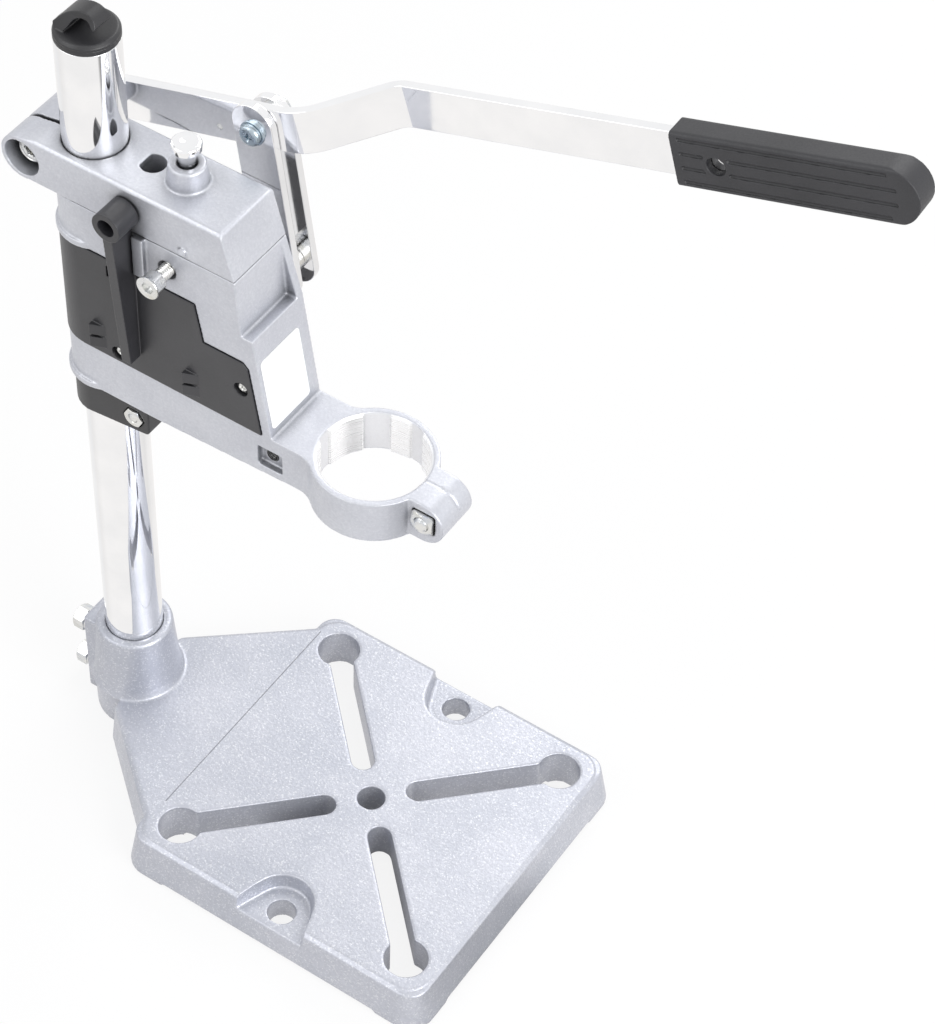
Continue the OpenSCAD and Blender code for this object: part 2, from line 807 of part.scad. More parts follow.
// The window in the casting that a pair of covers closes
function window_points() = [
    [col_x, arm_top + lap], [front_x(arm_top) - cover_margin - lap, arm_top + lap],
    [front_x(cover_step_z) - cover_margin - lap, cover_step_z - lap],
    [front_x(cover_step_z) - cover_step_back - lap, cover_step_z - lap],
    [front_x(cover_top) - cover_step_back - lap, cover_top - lap], [col_x, cover_top - lap]
];

// The arm with its blends into the collar, in plan
module arm_plan() {
    span = collar_out + blend_r;
    blend_x = -sqrt(pow(span, 2) - pow(arm_y + blend_r, 2));
    translate([col_x, -arm_y]) square([reach, arm_w]);
    difference() {
        translate([blend_x, -arm_y - blend_r * collar_out / span])
            square([-blend_x * blend_r / span, 2 * (arm_y + blend_r * collar_out / span)]);
        for (side = [-1, 1]) translate([blend_x, side * (arm_y + blend_r)]) circle(blend_r);
    }
}

module collar_lug() {
    y_bar([lug_x, lug_z], lug_r, lug_near, lug_far);
    translate([collar_r, lug_near, lug_z - lug_r]) cube([lug_x - collar_r, lug_far - lug_near, 2 * lug_r]);
}

// Blank of the arm with its collar, and below that the blank of the frame over it
module arm_blank() {
    translate([0, 0, carriage_z]) intersection() {
        linear_extrude(arm_h) arm_plan();
        side_slab([
            [col_x, 0], [col_x + ring_front, 0], [-collar_out, arm_h - collar_h], [over, arm_h - collar_h],
            [over, arm_h], [col_x, arm_h]
        ], -arm_w, arm_w);
    }
    translate([0, 0, arm_top - collar_h]) cylinder(r = collar_out, h = collar_h);
    collar_lug();
    translate([col_x, 0, carriage_z]) cylinder(r = arm_y, h = arm_h);
    translate([col_x, 0, carriage_z]) cylinder(r = arm_y + bead_proud, h = bead_h);
}

module frame_blank() {
    bevelled_ring(cover_top, crown_top, bevel / 2);
    translate([col_x, 0, cover_top]) cylinder(r = arm_y + bead_proud, h = bead_h);
    side_slab([
        [col_x, arm_top], [front_x(arm_top), arm_top], [front_x(ledge_z), ledge_z],
        [front_x(crown_top), crown_top], [col_x, crown_top]
    ], -arm_y, arm_y);
    translate([side_pad_x, -arm_y - side_pad[1], crown_top - side_pad[2]])
        cube([side_pad[0], 2 * side_pad[1], side_pad[2]]);
    y_bar(link_foot, link_boss_r, 0, inner_y - seat);
}

// Room round the column between the two rings, and the shells that close it
module column_room() {
    translate([col_x, 0, arm_top]) cylinder(r = arm_w, h = cover_h);
}

module collar_bore() {
    z0 = arm_top - collar_h - over;
    translate([0, 0, z0]) cylinder(r = collar_r, h = collar_h + 2 * over);
    translate([0, 0, arm_top - bevel]) cylinder(r1 = collar_r, r2 = collar_r + bevel, h = bevel + over / 10);
    for (k = [0:len(relief_turns) - 1])
        rotate(relief_turns[k]) linear_extrude(arm_top + over) polygon(concat(
            [[0, 0]], arc([0, 0], collar_r + relief, -relief_half_turns[k], relief_half_turns[k], 12)
        ));
    translate([0, slit_y - slit_w / 2, z0]) cube([lug_x + lug_r + over, slit_w, collar_h + 2 * over]);
}

// What is cut from both
module carriage_cuts() {
    clamp_at = [clamp_x, clamp_z];
    // Window between the covers, and the rebates they lie in
    side_slab(window_points(), -arm_w, arm_w);
    for (side = [-1, 1])
        side_slab(cover_points(seat), side > 0 ? arm_y - rebate : -arm_w, side > 0 ? arm_w : -arm_y + rebate);
    intersection() {
        column_room();
        translate([col_x - arm_w, -arm_w, 0]) cube([arm_w, 2 * arm_w, crown_top]);
    }
    // Pocket over the ledge, closed by a rib on the lever's side
    side_slab([
        [front_x(crown_top), crown_top + over], [front_x(crown_top), crown_top],
        [front_x(ledge_z) - pocket_deep, ledge_z], [front_x(ledge_z) + over, ledge_z], [over, crown_top + over]
    ], -arm_w, rib_y);
    // Column, bushes, rod and spring
    translate([col_x, 0, carriage_z - over]) cylinder(r = bush_r + run, h = crown_top - carriage_z + 2 * over);
    translate([rod_x, rod_y, rod_foot - rod_well]) cylinder(r = rod_r + run, h = crown_top - rod_foot + rod_well + over);
    translate([spring_x, spring_y, arm_top + lap - rod_well]) cylinder(r = spring_hole_r, h = crown_top);
    y_bar([spring_x, pin_low_z], spring_pin_r + run, -arm_y + core_wall, arm_y + over);
    y_bar([lock_x, lock_z], lock_r + run, -arm_w, rod_y);
    y_bar([lock_x, lock_z], lock_well_r, -arm_w, -arm_y + lock_well);
    // Collar and its clamp
    collar_bore();
    y_bar(clamp_at, clamp_r + run, lug_near - over, lug_far + over);
    translate([clamp_x - clamp_nut_w / 2 - seat, lug_near - over, clamp_z - clamp_nut_w / 2 - seat])
        cube([clamp_nut_w + 2 * seat, clamp_nut_well + over, clamp_nut_w + 2 * seat]);
    y_bar(clamp_at, clamp_head_r + seat, lug_far - clamp_well, lug_far + over);
    // Pocket in the arm's near side
    translate([recess_at[0], -arm_y - over, recess_at[1]])
        cube([recess_size[0], recess_deep + over, recess_size[1]]);
    y_bar(recess_hole_at, recess_hole_r, -arm_y, 0);
    // Room for the screws of the covers
    for (at = [screw_rear, screw_front]) {
        y_bar(at, screw_post_r + seat, -arm_y, arm_y - rebate + over / 2);
        y_bar(at, screw_boss_r + seat, -arm_y, -arm_y + rebate + screw_boss_deep + seat);
    }
    // The arm is cored out from below
    for (x0 = [col_x + ring_front + core_wall, rod_x + rod_boss_r + core_wall])
        translate([x0, -arm_y + core_wall + recess_deep / 2, carriage_z - over])
            cube([x0 < rod_x ? 2 * rod_boss_r - core_wall : recess_at[0] - x0 - core_wall,
                arm_w - 2 * core_wall - recess_deep, arm_h - core_roof + over]);
}

// The casting is one piece on the product and is given here as its arm and the frame over it
module carriage_arm() {
    color(cast_color) difference() {
        arm_blank();
        carriage_cuts();
    }
}

module carriage_casting() {
    color(cast_color) difference() {
        frame_blank();
        carriage_cuts();
    }
}

// A pair of snap barbs, one over the other, that rise from the cover's face
module clip_pair(x, side) {
    y_in = side * (arm_y - rebate);
    y_face = side * (arm_y + cover_t - rebate);
    for (k = [0, 1]) translate([x, 0, clip_z - k * clip_pitch - clip_h / 2]) linear_extrude(clip_h) polygon([
        [-clip_w / 2, y_in], [-clip_w / 2, y_face + side * clip_barb], [clip_w / 2, y_face], [clip_w / 2, y_in]
    ]);
}

// One side cover with its half shell round the back of the column
module cover_shell(side) {
    y_out = arm_y + cover_t - rebate;
    y_in = arm_y - rebate;
    side_slab(cover_points(0), side > 0 ? y_in : -y_out, side > 0 ? y_out : -y_in);
    intersection() {
        translate([col_x, 0, arm_top + seat]) difference() {
            cylinder(r = cover_r, h = cover_h - 2 * seat);
            translate([0, 0, -over]) cylinder(r = cover_r - cover_t, h = cover_h + 2 * over);
        }
        translate([col_x - arm_w, side > 0 ? seat / 2 : -arm_w, 0]) cube([arm_w + over, arm_w - seat / 2, crown_top]);
    }
    for (ahead = [clip_rear_ahead, clip_front_ahead]) clip_pair(col_x + ahead, side);
}

// The strut on the near cover, deeper at its top, where it carries the boss
module cover_strut(y_out) {
    y_back = y_out - fin_back;
    translate([fin_x - fin_t / 2, 0, 0]) rotate([90, 0, 90]) linear_extrude(fin_t) polygon([
        [y_out + fin_root, fin_tip_z], [y_out - fin_tip_reach, fin_tip_z],
        [y_out - fin_reach + fin_back, fin_boss_z - fin_boss_r], [y_out - fin_reach + fin_back, fin_boss_z],
        [y_back, fin_boss_z], [y_back, cover_top], [y_out + fin_root, cover_top - fin_root]
    ]);
}

module near_cover() {
    y_out = -arm_y - cover_t + rebate;
    y_in = -arm_y + rebate;
    boss_at = [fin_x, fin_boss_z];
    color(plastic_color) difference() {
        union() {
            cover_shell(-1);
            y_bar(boss_at, fin_boss_r, y_out - fin_reach, y_out - fin_back);
            cover_strut(y_out);
            for (at = [screw_rear, screw_front])
                y_bar(at, screw_boss_r, y_in - cover_t / 2, y_in + screw_boss_deep);
        }
        y_bar(boss_at, fin_hole_r, y_out - fin_reach - over, y_out - fin_back - fin_root);
        for (at = [screw_rear, screw_front]) {
            y_bar(at, screw_r + run, y_out - over, y_in + screw_boss_deep + over);
            y_bar(at, screw_well_r, y_out - over, y_out + screw_well);
        }
        translate([vent_at[0] - vent_w / 2, -arm_w, vent_at[1] - vent_h / 2]) cube([vent_w, arm_w, vent_h]);
    }
}

// The far cover carries the posts that the screws bite into
module far_cover() {
    y_end = -arm_y + rebate + screw_boss_deep;
    color(plastic_color) difference() {
        union() {
            cover_shell(1);
            for (at = [screw_rear, screw_front]) y_bar(at, screw_post_r, y_end, arm_y - rebate + cover_t / 2);
        }
        for (at = [screw_rear, screw_front]) y_bar(at, screw_r + run, y_end - over, y_end + screw_len);
    }
}

// Two small screws, deep in the wells of the near cover
module cover_screws() {
    y_floor = -arm_y - cover_t + rebate + screw_well;
    color(zinc_color) for (at = [screw_rear, screw_front]) difference() {
        union() {
            y_bar(at, screw_head_r, y_floor - screw_head_h, y_floor);
            y_bar(at, screw_r, y_floor - screw_head_h / 2, y_floor + screw_len);
        }
        cross_recess(at, y_floor - screw_head_h - over, y_floor - screw_head_h / 2, small_cross_share);
    }
}

// Bare label on the leaning face over the arm
label_w = 24;
label_h = 33.5;
label_t = 0.3;
label_rise = 3.5;
label_y = -2;

module label_plate() {
    color(label_color) translate([front_x(arm_top), label_y, arm_top]) rotate([0, -label_lean, 0])
        translate([0, -label_w / 2, label_rise]) cube([label_t, label_w, label_h]);
}

module upper_bush() {
    color(plastic_color) translate([col_x, 0, cover_top - lap]) difference() {
        cylinder(r = bush_r, h = crown_h + lap - seat);
        translate([0, 0, -over]) cylinder(r = col_r + run, h = crown_h + lap + 2 * over);
    }
}

// Side view of the guide ring: its underside rises to the front and ends in a round corner
ring_back_x = col_x - arm_y + ring_in;
ring_nose_x = col_x + ring_front;
ring_points = concat(
    [[ring_nose_x, carriage_z], [ring_back_x, carriage_z], [ring_back_x, carriage_z - ring_rear_h]],
    arc([ring_nose_x - ring_corner_r, carriage_z - ring_front_h + ring_corner_r], ring_corner_r, -90, 0, 6)
);

module guide_ring() {
    at = [ring_screw_x, ring_screw_z];
    half = arm_y - ring_in;
    z0 = carriage_z - ring_rear_h;
    color(plastic_color) difference() {
        union() {
            intersection() {
                union() {
                    translate([col_x, 0, z0]) cylinder(r = half, h = ring_rear_h);
                    translate([col_x, -half, z0]) cube([ring_front, 2 * half, ring_rear_h]);
                }
                side_slab(ring_points, -arm_w, arm_w);
            }
            translate([col_x, 0, carriage_z - over]) cylinder(r = bush_r, h = over + ring_sleeve);
        }
        translate([col_x, 0, z0 - over]) cylinder(r = col_r + run, h = ring_rear_h + ring_sleeve + 2 * over);
        translate([col_x, -ring_slit / 2, z0 - over])
            cube([arm_w, ring_slit, ring_rear_h + ring_sleeve + 2 * over]);
        y_bar(at, ring_screw_r + run, -arm_w, arm_w);
        y_hex(at, ring_nut_af + 4 * seat, -arm_w, -half + ring_well);
        y_bar(at, ring_head_r + seat, half - ring_well, arm_w);
    }
}

module guide_ring_screw() {
    at = [ring_screw_x, ring_screw_z];
    y0 = arm_y - ring_in - ring_well;
    color(zinc_color) difference() {
        union() {
            y_bar(at, ring_head_r, y0, y0 + ring_head_h);
            y_bar(at, ring_screw_r, -arm_y + ring_in + ring_well - ring_nut_t, y0 + over / 2);
        }
        cross_recess(at, y0 + ring_head_h / 2, y0 + ring_head_h + over);
    }
}

module guide_ring_nut() {
    at = [ring_screw_x, ring_screw_z];
    y1 = -arm_y + ring_in + ring_well;
    color(zinc_color) difference() {
        y_hex(at, ring_nut_af, y1 - ring_nut_t, y1);
        y_bar(at, ring_screw_r + run, y1 - ring_nut_t - over, y1 + over);
    }
}

module collar_clamp_nut() {
    y1 = lug_near + clamp_nut_well;
    color(zinc_color) difference() {
        translate([clamp_x - clamp_nut_w / 2, y1 - clamp_nut_t, clamp_z - clamp_nut_w / 2])
            cube([clamp_nut_w, clamp_nut_t, clamp_nut_w]);
        y_bar([clamp_x, clamp_z], clamp_r + run, y1 - clamp_nut_t - over, y1 + over);
    }
}

module collar_clamp_bolt() {
    at = [clamp_x, clamp_z];
    y0 = lug_far - clamp_well;
    color(zinc_color) difference() {
        union() {
            y_bar(at, clamp_head_r, y0, y0 + clamp_head_h);
            y_bar(at, clamp_r, lug_near + clamp_nut_well - clamp_nut_t - over, y0 + over / 2);
        }
        y_hex(at, hex_key, y0 + clamp_head_h - hex_deep, y0 + clamp_head_h + over);
    }
}

// Centre line of the lever strap in its own frame: X along the lever, Y sideways, with round bends
sweep = atan2(strap_step, elbow_at - bend_at);
bend_cut = bend_r * tan(sweep / 2);
splay_turn = sweep - splay;
splay_cut = elbow_r * tan(splay_turn / 2);
bend_steps = 6;
mid_y = strap_y + strap_t / 2;
elbow = [elbow_at, mid_y + strap_step];
bend_mid = [bend_at - bend_cut, mid_y + bend_r];
elbow_mid = elbow - splay_cut * [cos(sweep), sin(sweep)] + elbow_r * [sin(sweep), -cos(sweep)];
strap_end = elbow + (grip_at + tang_len - elbow_at) / cos(splay) * [cos(splay), sin(splay)];

// One side of the strap, a half thickness to the left (+1) or right (-1) of its centre line
function strap_side(s) = concat(
    [[-strap_h / 2, mid_y + s * strap_t / 2]],
    arc(bend_mid, bend_r - s * strap_t / 2, -90, sweep - 90, bend_steps),
    arc(elbow_mid, elbow_r + s * strap_t / 2, sweep + 90, splay + 90, bend_steps),
    [strap_end + s * strap_t / 2 * [-sin(splay), cos(splay)]]
);
function reversed(list) = [for (i = [len(list) - 1:-1:0]) list[i]];

module on_lever() {
    translate([pivot[0], 0, pivot[1]]) rotate([0, -lever_rise, 0]) children();
}

module lever_bar() {
    color(chrome_color) on_lever() difference() {
        intersection() {
            translate([0, 0, -strap_h / 2]) linear_extrude(strap_h)
                polygon(concat(strap_side(1), reversed(strap_side(-1))));
            union() {
                y_bar([0, 0], strap_h / 2, 0, reach);
                translate([0, 0, -strap_h / 2]) cube([grip_at + grip_len, reach, strap_h]);
            }
        }
        y_bar([0, 0], pivot_bolt_r + run, 0, reach);
        y_bar([crank, 0], link_bolt_r + run, 0, elbow[1] + reach);
    }
}

// The grip's own frame starts on the strap's centre line where the strap enters it
module on_grip() {
    start = elbow + (grip_at - elbow_at) / cos(splay) * [cos(splay), sin(splay)];
    on_lever() translate([start[0], start[1], 0]) rotate(splay) children();
}

module grip_section() {
    w = grip_t - 2 * grip_edge_r;
    h = grip_h - 2 * grip_edge_r;
    square([grip_t, h], center = true);
    square([w, grip_h], center = true);
    for (sx = [-1, 1], sy = [-1, 1]) translate([sx * w / 2, sy * h / 2]) circle(grip_edge_r);
}

module lever_grip() {
    pitch = (grip_h - 2 * grip_edge_r) / (grip_grooves - 1) * groove_spread_share;
    color(plastic_color) on_grip() difference() {
        intersection() {
            rotate([90, 0, 90]) linear_extrude(grip_len) grip_section();
            translate([0, grip_t, 0]) rotate([90, 0, 0]) linear_extrude(2 * grip_t) {
                translate([0, -grip_h / 2]) square([grip_len - grip_h / 2, grip_h]);
                translate([grip_len - grip_h / 2, 0]) circle(grip_h / 2);
            }
        }
        translate([-over, -strap_t / 2 - run, -strap_h / 2 - run])
            cube([tang_len / cos(splay) + over + seat, strap_t + 2 * run, strap_h + 2 * run]);
        for (side = [-1, 1], k = [0:grip_grooves - 1]) {
            z = (k - (grip_grooves - 1) / 2) * pitch;
            y0 = side > 0 ? grip_t / 2 - grip_groove_deep : -grip_t / 2 - over;
            difference() {
                translate([grip_groove_inset, y0, z - grip_groove_w / 2]) cube([
                    grip_len - grip_groove_inset - grip_groove_end - abs(z) / 2, grip_groove_deep + over, grip_groove_w
                ]);
                y_bar([grip_hole_at, 0], grip_pad_r, -grip_t, grip_t);
            }
        }
        y_bar([grip_hole_at, 0], grip_hole_r, -grip_t, -strap_t / 2);
        y_bar([grip_hole_at, 0], grip_hole_r, strap_t / 2, grip_t);
    }
}

// Link plates, one on each side of the strap
module link_plate(y0, top_tail) {
    difference() {
        translate([link_top[0], 0, link_top[1]]) rotate([0, -link_lean, 0]) {
            for (z = [top_tail, -link_len - link_tail]) y_bar([0, z], link_w / 2, y0, y0 + link_t);
            translate([-link_w / 2, y0, -link_len - link_tail])
                cube([link_w, link_t, link_len + link_tail + top_tail]);
        }
        y_bar(link_top, link_bolt_r + run, y0 - over, y0 + link_t + over);
        y_bar(link_foot, link_bolt_r + run, y0 - over, y0 + link_t + over);
    }
}

module inner_link() {
    color(chrome_color) link_plate(inner_y, link_tail);
}

module outer_link() {
    color(chrome_color) link_plate(outer_y, outer_tail);
}

module link_top_bolt() {
    color(zinc_color) difference() {
        union() {
            y_bar(link_top, link_head_r, inner_y - link_head_h, inner_y);
            y_bar(link_top, link_bolt_r, inner_y - over, outer_y + link_t + link_nut_t + over);
        }
        cross_recess(link_top, inner_y - link_head_h - over, inner_y - link_head_h + cross_deep);
    }
}

// The washer keeps the outer plate clear of the strap's bend at full stroke
module link_washer() {
    color(zinc_color) difference() {
        y_bar(link_top, spacer_r, outer_y - link_washer_t, outer_y);
        y_bar(link_top, link_bolt_r + run, 0, reach);
    }
}

module link_top_nut() {
    y0 = outer_y + link_t;
    color(zinc_color) difference() {
        y_hex(link_top, link_nut_af, y0, y0 + link_nut_t);
        y_bar(link_top, link_bolt_r + run, y0 - over, y0 + link_nut_t + over);
    }
}

// The lower bolt ends flush with the inner plate, because the linkage is open at this pivot
module link_bottom_bolt() {
    y1 = outer_y + link_t;
    color(zinc_color) {
        y_hex(link_foot, link_nut_af, y1, y1 + link_nut_t);
        y_bar(link_foot, link_bolt_r, inner_y, y1 + over);
    }
}

module link_spacer() {
    color(zinc_color) difference() {
        y_bar(link_foot, spacer_r, inner_y + link_t + face_gap / 2, outer_y - face_gap / 2);
        y_bar(link_foot, link_bolt_r + run, 0, reach);
    }
}

// Depth rod with its mushroom knob
rod_neck_z = head_top + rod_boss_h + rod_gap;
knob_z = rod_neck_z + rod_knob_under;
knob_top = knob_z + rod_knob_h;

module depth_rod() {
    edge = bevel / 4;
    color(chrome_color) translate([rod_x, rod_y, 0]) rotate_extrude() polygon(concat(
        [[0, rod_foot], [rod_r - bevel / 2, rod_foot], [rod_r, rod_foot + bevel / 2], [rod_r, rod_neck_z],
            [rod_knob_r - edge, knob_z], [rod_knob_r, knob_z + edge]],
        arc([rod_knob_r - rod_knob_round, knob_top - rod_knob_round], rod_knob_round, 0, 90, 6),
        [[0, knob_top + edge]]
    ));
}

module depth_lock_screw() {
    at = [lock_x, lock_z];
    y_neck = -arm_y - lock_neck;
    color(zinc_color) difference() {
        union() {
            y_bar(at, lock_r, y_neck - over, rod_y - rod_r - seat);
            y_bar(at, lock_head_r, y_neck - lock_head_h, y_neck);
        }
        y_hex(at, hex_key, y_neck - lock_head_h - over, y_neck - lock_head_h + hex_deep);
    }
}

base_plate();
socket_bolts();
column_tube();
column_cap();
head_casting();
pivot_bolt();
pivot_washer();
pivot_nut();
spring_pin_upper();
return_spring();
carriage_arm();
carriage_casting();
near_cover();
far_cover();
cover_screws();
label_plate();
upper_bush();
guide_ring();
guide_ring_screw();
guide_ring_nut();
spring_pin_lower();
collar_clamp_nut();
collar_clamp_bolt();
lever_bar();
lever_grip();
inner_link();
outer_link();
link_top_bolt();
link_top_nut();
link_washer();
link_bottom_bolt();
link_spacer();
depth_rod();
depth_lock_screw();
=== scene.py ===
import json
import math
import bpy
import bmesh
from mathutils import Matrix, Vector


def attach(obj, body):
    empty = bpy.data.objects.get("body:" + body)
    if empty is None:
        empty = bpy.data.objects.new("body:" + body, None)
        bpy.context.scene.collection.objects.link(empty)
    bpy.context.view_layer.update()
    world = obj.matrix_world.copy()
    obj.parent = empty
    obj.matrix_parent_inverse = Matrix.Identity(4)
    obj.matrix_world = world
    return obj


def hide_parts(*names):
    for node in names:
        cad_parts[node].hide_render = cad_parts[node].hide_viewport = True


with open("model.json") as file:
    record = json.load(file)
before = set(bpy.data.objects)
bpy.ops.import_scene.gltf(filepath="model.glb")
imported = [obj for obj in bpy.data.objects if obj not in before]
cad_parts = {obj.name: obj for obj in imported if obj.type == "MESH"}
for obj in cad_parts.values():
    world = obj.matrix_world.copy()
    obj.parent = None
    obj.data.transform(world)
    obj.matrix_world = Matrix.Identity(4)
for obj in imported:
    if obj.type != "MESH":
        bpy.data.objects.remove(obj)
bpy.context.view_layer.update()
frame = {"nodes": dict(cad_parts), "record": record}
cadNodes = frame["nodes"]
mm = 0.001
print("frame is in, nodes:", len(cadNodes))

bodyOf = {member: body for body, members in frame["record"]["behaviour"]["bodies"].items()
          for member in members}
slotOf = {part["node"]: part["material_slot"] for part in frame["record"]["subparts"]}


# small helpers for meshes

def linked(name, mesh):
    piece = bpy.data.objects.new(name, mesh)
    bpy.context.scene.collection.objects.link(piece)
    return piece


def smoothBy(mesh, degrees):
    mesh.polygons.foreach_set("use_smooth", [True] * len(mesh.polygons))
    mesh.set_sharp_from_angle(angle=math.radians(degrees))


def setDown(piece, solid, *others):
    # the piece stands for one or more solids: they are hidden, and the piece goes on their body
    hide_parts(solid, *others)
    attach(piece, bodyOf[solid])


def cleanCopy(solid, flat=0.4, merge=0.004):
    # a solid's mesh with its flat faces joined, ready for rounding
    mesh = cadNodes[solid].data.copy()
    bm = bmesh.new()
    bm.from_mesh(mesh)
    bmesh.ops.remove_doubles(bm, verts=bm.verts, dist=merge * mm)
    bmesh.ops.dissolve_limit(bm, angle_limit=math.radians(flat), verts=bm.verts, edges=bm.edges)
    bmesh.ops.recalc_face_normals(bm, faces=bm.faces)
    bm.to_mesh(mesh)
    bm.free()
    mesh.materials.clear()
    if "custom_normal" in mesh.attributes:
        mesh.attributes.remove(mesh.attributes["custom_normal"])
    return mesh


def closedMesh(name, bm, material):
    bmesh.ops.recalc_face_normals(bm, faces=bm.faces)
    mesh = bpy.data.meshes.new(name)
    bm.to_mesh(mesh)
    bm.free()
    mesh.materials.append(material)
    return mesh


# small helpers for materials. Noise lies mostly within these spans, so shares are taken from them

noiseSpan, cloudSpan = (0.3, 0.7), (0.35, 0.65)


def newMaterial(name, **sockets):
    material = bpy.data.materials.new(name)
    material.use_nodes = True
    tree = material.node_tree
    tree.nodes.clear()
    out = tree.nodes.new("ShaderNodeOutputMaterial")
    body = tree.nodes.new("ShaderNodeBsdfPrincipled")
    tree.links.new(body.outputs[0], out.inputs[0])
    for key, value in sockets.items():
        body.inputs[key.replace("_", " ")].default_value = value
    return material, tree, body


def wire(tree, value, socket):
    if isinstance(value, bpy.types.NodeSocket):
        tree.links.new(value, socket)
    else:
        socket.default_value = value


def node(tree, kind, settings=None, **sockets):
    made = tree.nodes.new(kind)
    for key, value in (settings or {}).items():
        setattr(made, key, value)
    for key, value in sockets.items():
        wire(tree, value, made.inputs[key.replace("_", " ")])
    return made


def placeCoords(tree, scale=(1, 1, 1)):
    # the object's own coordinates, in millimetres, stretched where wanted
    coords = node(tree, "ShaderNodeTexCoord").outputs["Object"]
    return node(tree, "ShaderNodeMapping", Vector=coords, Scale=[s / mm for s in scale]).outputs[0]


def noiseOf(tree, coords, size, detail=3.0, roughness=0.55):
    # noise whose blotches are about size millimetres across
    return node(tree, "ShaderNodeTexNoise", Vector=coords, Scale=1 / size, Detail=detail,
                Roughness=roughness).outputs["Fac"]


def ranged(tree, value, low, high, toLow=0, toHigh=1):
    return node(tree, "ShaderNodeMapRange", {"clamp": True}, Value=value, From_Min=low, From_Max=high,
                To_Min=toLow, To_Max=toHigh).outputs["Result"]


def worked(tree, operation, a, b):
    made = node(tree, "ShaderNodeMath", {"operation": operation})
    wire(tree, a, made.inputs[0])
    wire(tree, b, made.inputs[1])
    return made.outputs[0]


def mixed(tree, factor, a, b):
    return node(tree, "ShaderNodeMix", Factor=factor, A=a, B=b).outputs[0]


def blended(tree, factor, a, b):
    made = node(tree, "ShaderNodeMix", {"data_type": "RGBA"}, Factor=factor)
    wire(tree, a, made.inputs[6])
    wire(tree, b, made.inputs[7])
    return made.outputs[2]


def lengthOf(tree, vector):
    return node(tree, "ShaderNodeVectorMath", {"operation": "LENGTH"}, Vector=vector).outputs["Value"]


def shaded(tree, tone, share):
    return node(tree, "ShaderNodeVectorMath", {"operation": "SCALE"}, Vector=tone, Scale=share).outputs[0]


def alongEdges(tree, radius, low=0.004, high=0.05):
    # an edge is where a rounded normal departs from the true one
    rounded = node(tree, "ShaderNodeBevel", {"samples": 4}, Radius=radius * mm).outputs[0]
    true = node(tree, "ShaderNodeNewGeometry").outputs["Normal"]
    dot = node(tree, "ShaderNodeVectorMath", {"operation": "DOT_PRODUCT"})
    wire(tree, rounded, dot.inputs[0])
    wire(tree, true, dot.inputs[1])
    return ranged(tree, worked(tree, "SUBTRACT", 1.0, dot.outputs["Value"]), low, high)


def rubbed(tree, coords, tone, bare, wear):
    # the finish is rubbed off along the edges, in patches
    patches = ranged(tree, noiseOf(tree, coords, wear["patch"]), *wear["span"], *wear["share"])
    rub = worked(tree, "MULTIPLY", alongEdges(tree, wear["reach"]), patches)
    return blended(tree, rub, tone, bare)


def paintedShade(tree, reach, darkest, low=0.3, high=0.82):
    # painted shade: the colour is darkened in wells, holes and narrow gaps, where little open room is left
    openness = node(tree, "ShaderNodeAmbientOcclusion", {"samples": 6}, Distance=reach * mm).outputs["AO"]
    return ranged(tree, openness, low, high, darkest, 1.0)


def finished(tree, body, tone, rough, height, strength, depth):
    bump = node(tree, "ShaderNodeBump", Strength=strength, Distance=depth * mm, Height=height).outputs[0]
    wire(tree, tone, body.inputs["Base Color"])
    wire(tree, rough, body.inputs["Roughness"])
    wire(tree, bump, body.inputs["Normal"])


def rgb(*parts):
    # a colour as a paint chart gives it, 0 to 255, made linear
    def straight(c):
        c /= 255
        return c / 12.92 if c <= 0.04045 else ((c + 0.055) / 1.055) ** 2.4
    return (*[straight(p) for p in parts], 1.0)


# silver enamel over the die castings: a fine hammered skin with metal flake in it
enamel = {
    "cast": {"light": rgb(208, 210, 217), "deep": rgb(197, 199, 207), "flake": 0.18, "pits": 0.2,
             "depth": 0.04, "shade": 0.14},
    "base": {"light": rgb(197, 199, 208), "deep": rgb(184, 187, 197), "flake": 0.5, "pits": 0.34,
             "depth": 0.10, "shade": 0.8},
    "bare": rgb(232, 233, 236), "pit": rgb(168, 171, 180), "metal": 0.55, "coat": 0.12, "coatRough": 0.25,
    "cloudSize": 34, "skinSize": 1.3, "skinSpan": (0.38, 0.62), "flakeSize": 0.55, "flakeSpan": (0.80, 0.98),
    "flakeRise": 0.35, "rough": (0.46, 0.34), "shadeReach": 9, "bump": 0.35,
    "wear": {"reach": 0.7, "patch": 4, "span": (0.42, 0.7), "share": (0.1, 0.75)},
}
bore = {"reach": 22.2, "fade": 0.5, "tone": rgb(248, 248, 249), "rough": (0.22, 0.4),
        "marks": (0.08, 0.08, 3), "rise": 0.12}
seam = {"x": -71.0, "core": 0.14, "half": 0.35, "low": -52, "high": 62, "dark": 0.5, "deep": 2.0}


def boredBare(tree, coords, tone, rough, height):
    # the collar is bored bare, with fine turning marks
    place = node(tree, "ShaderNodeSeparateXYZ", Vector=coords).outputs
    away = lengthOf(tree, node(tree, "ShaderNodeCombineXYZ", X=place[0], Y=place[1]).outputs[0])
    bored = ranged(tree, away, bore["reach"], bore["reach"] + bore["fade"], 1, 0)
    marks = noiseOf(tree, placeCoords(tree, bore["marks"]), 1.0, 2)
    tone = blended(tree, bored, tone, bore["tone"])
    rough = mixed(tree, bored, rough, ranged(tree, marks, *noiseSpan, *bore["rough"]))
    height = mixed(tree, bored, height, worked(tree, "MULTIPLY", marks, bore["rise"]))
    return tone, rough, height


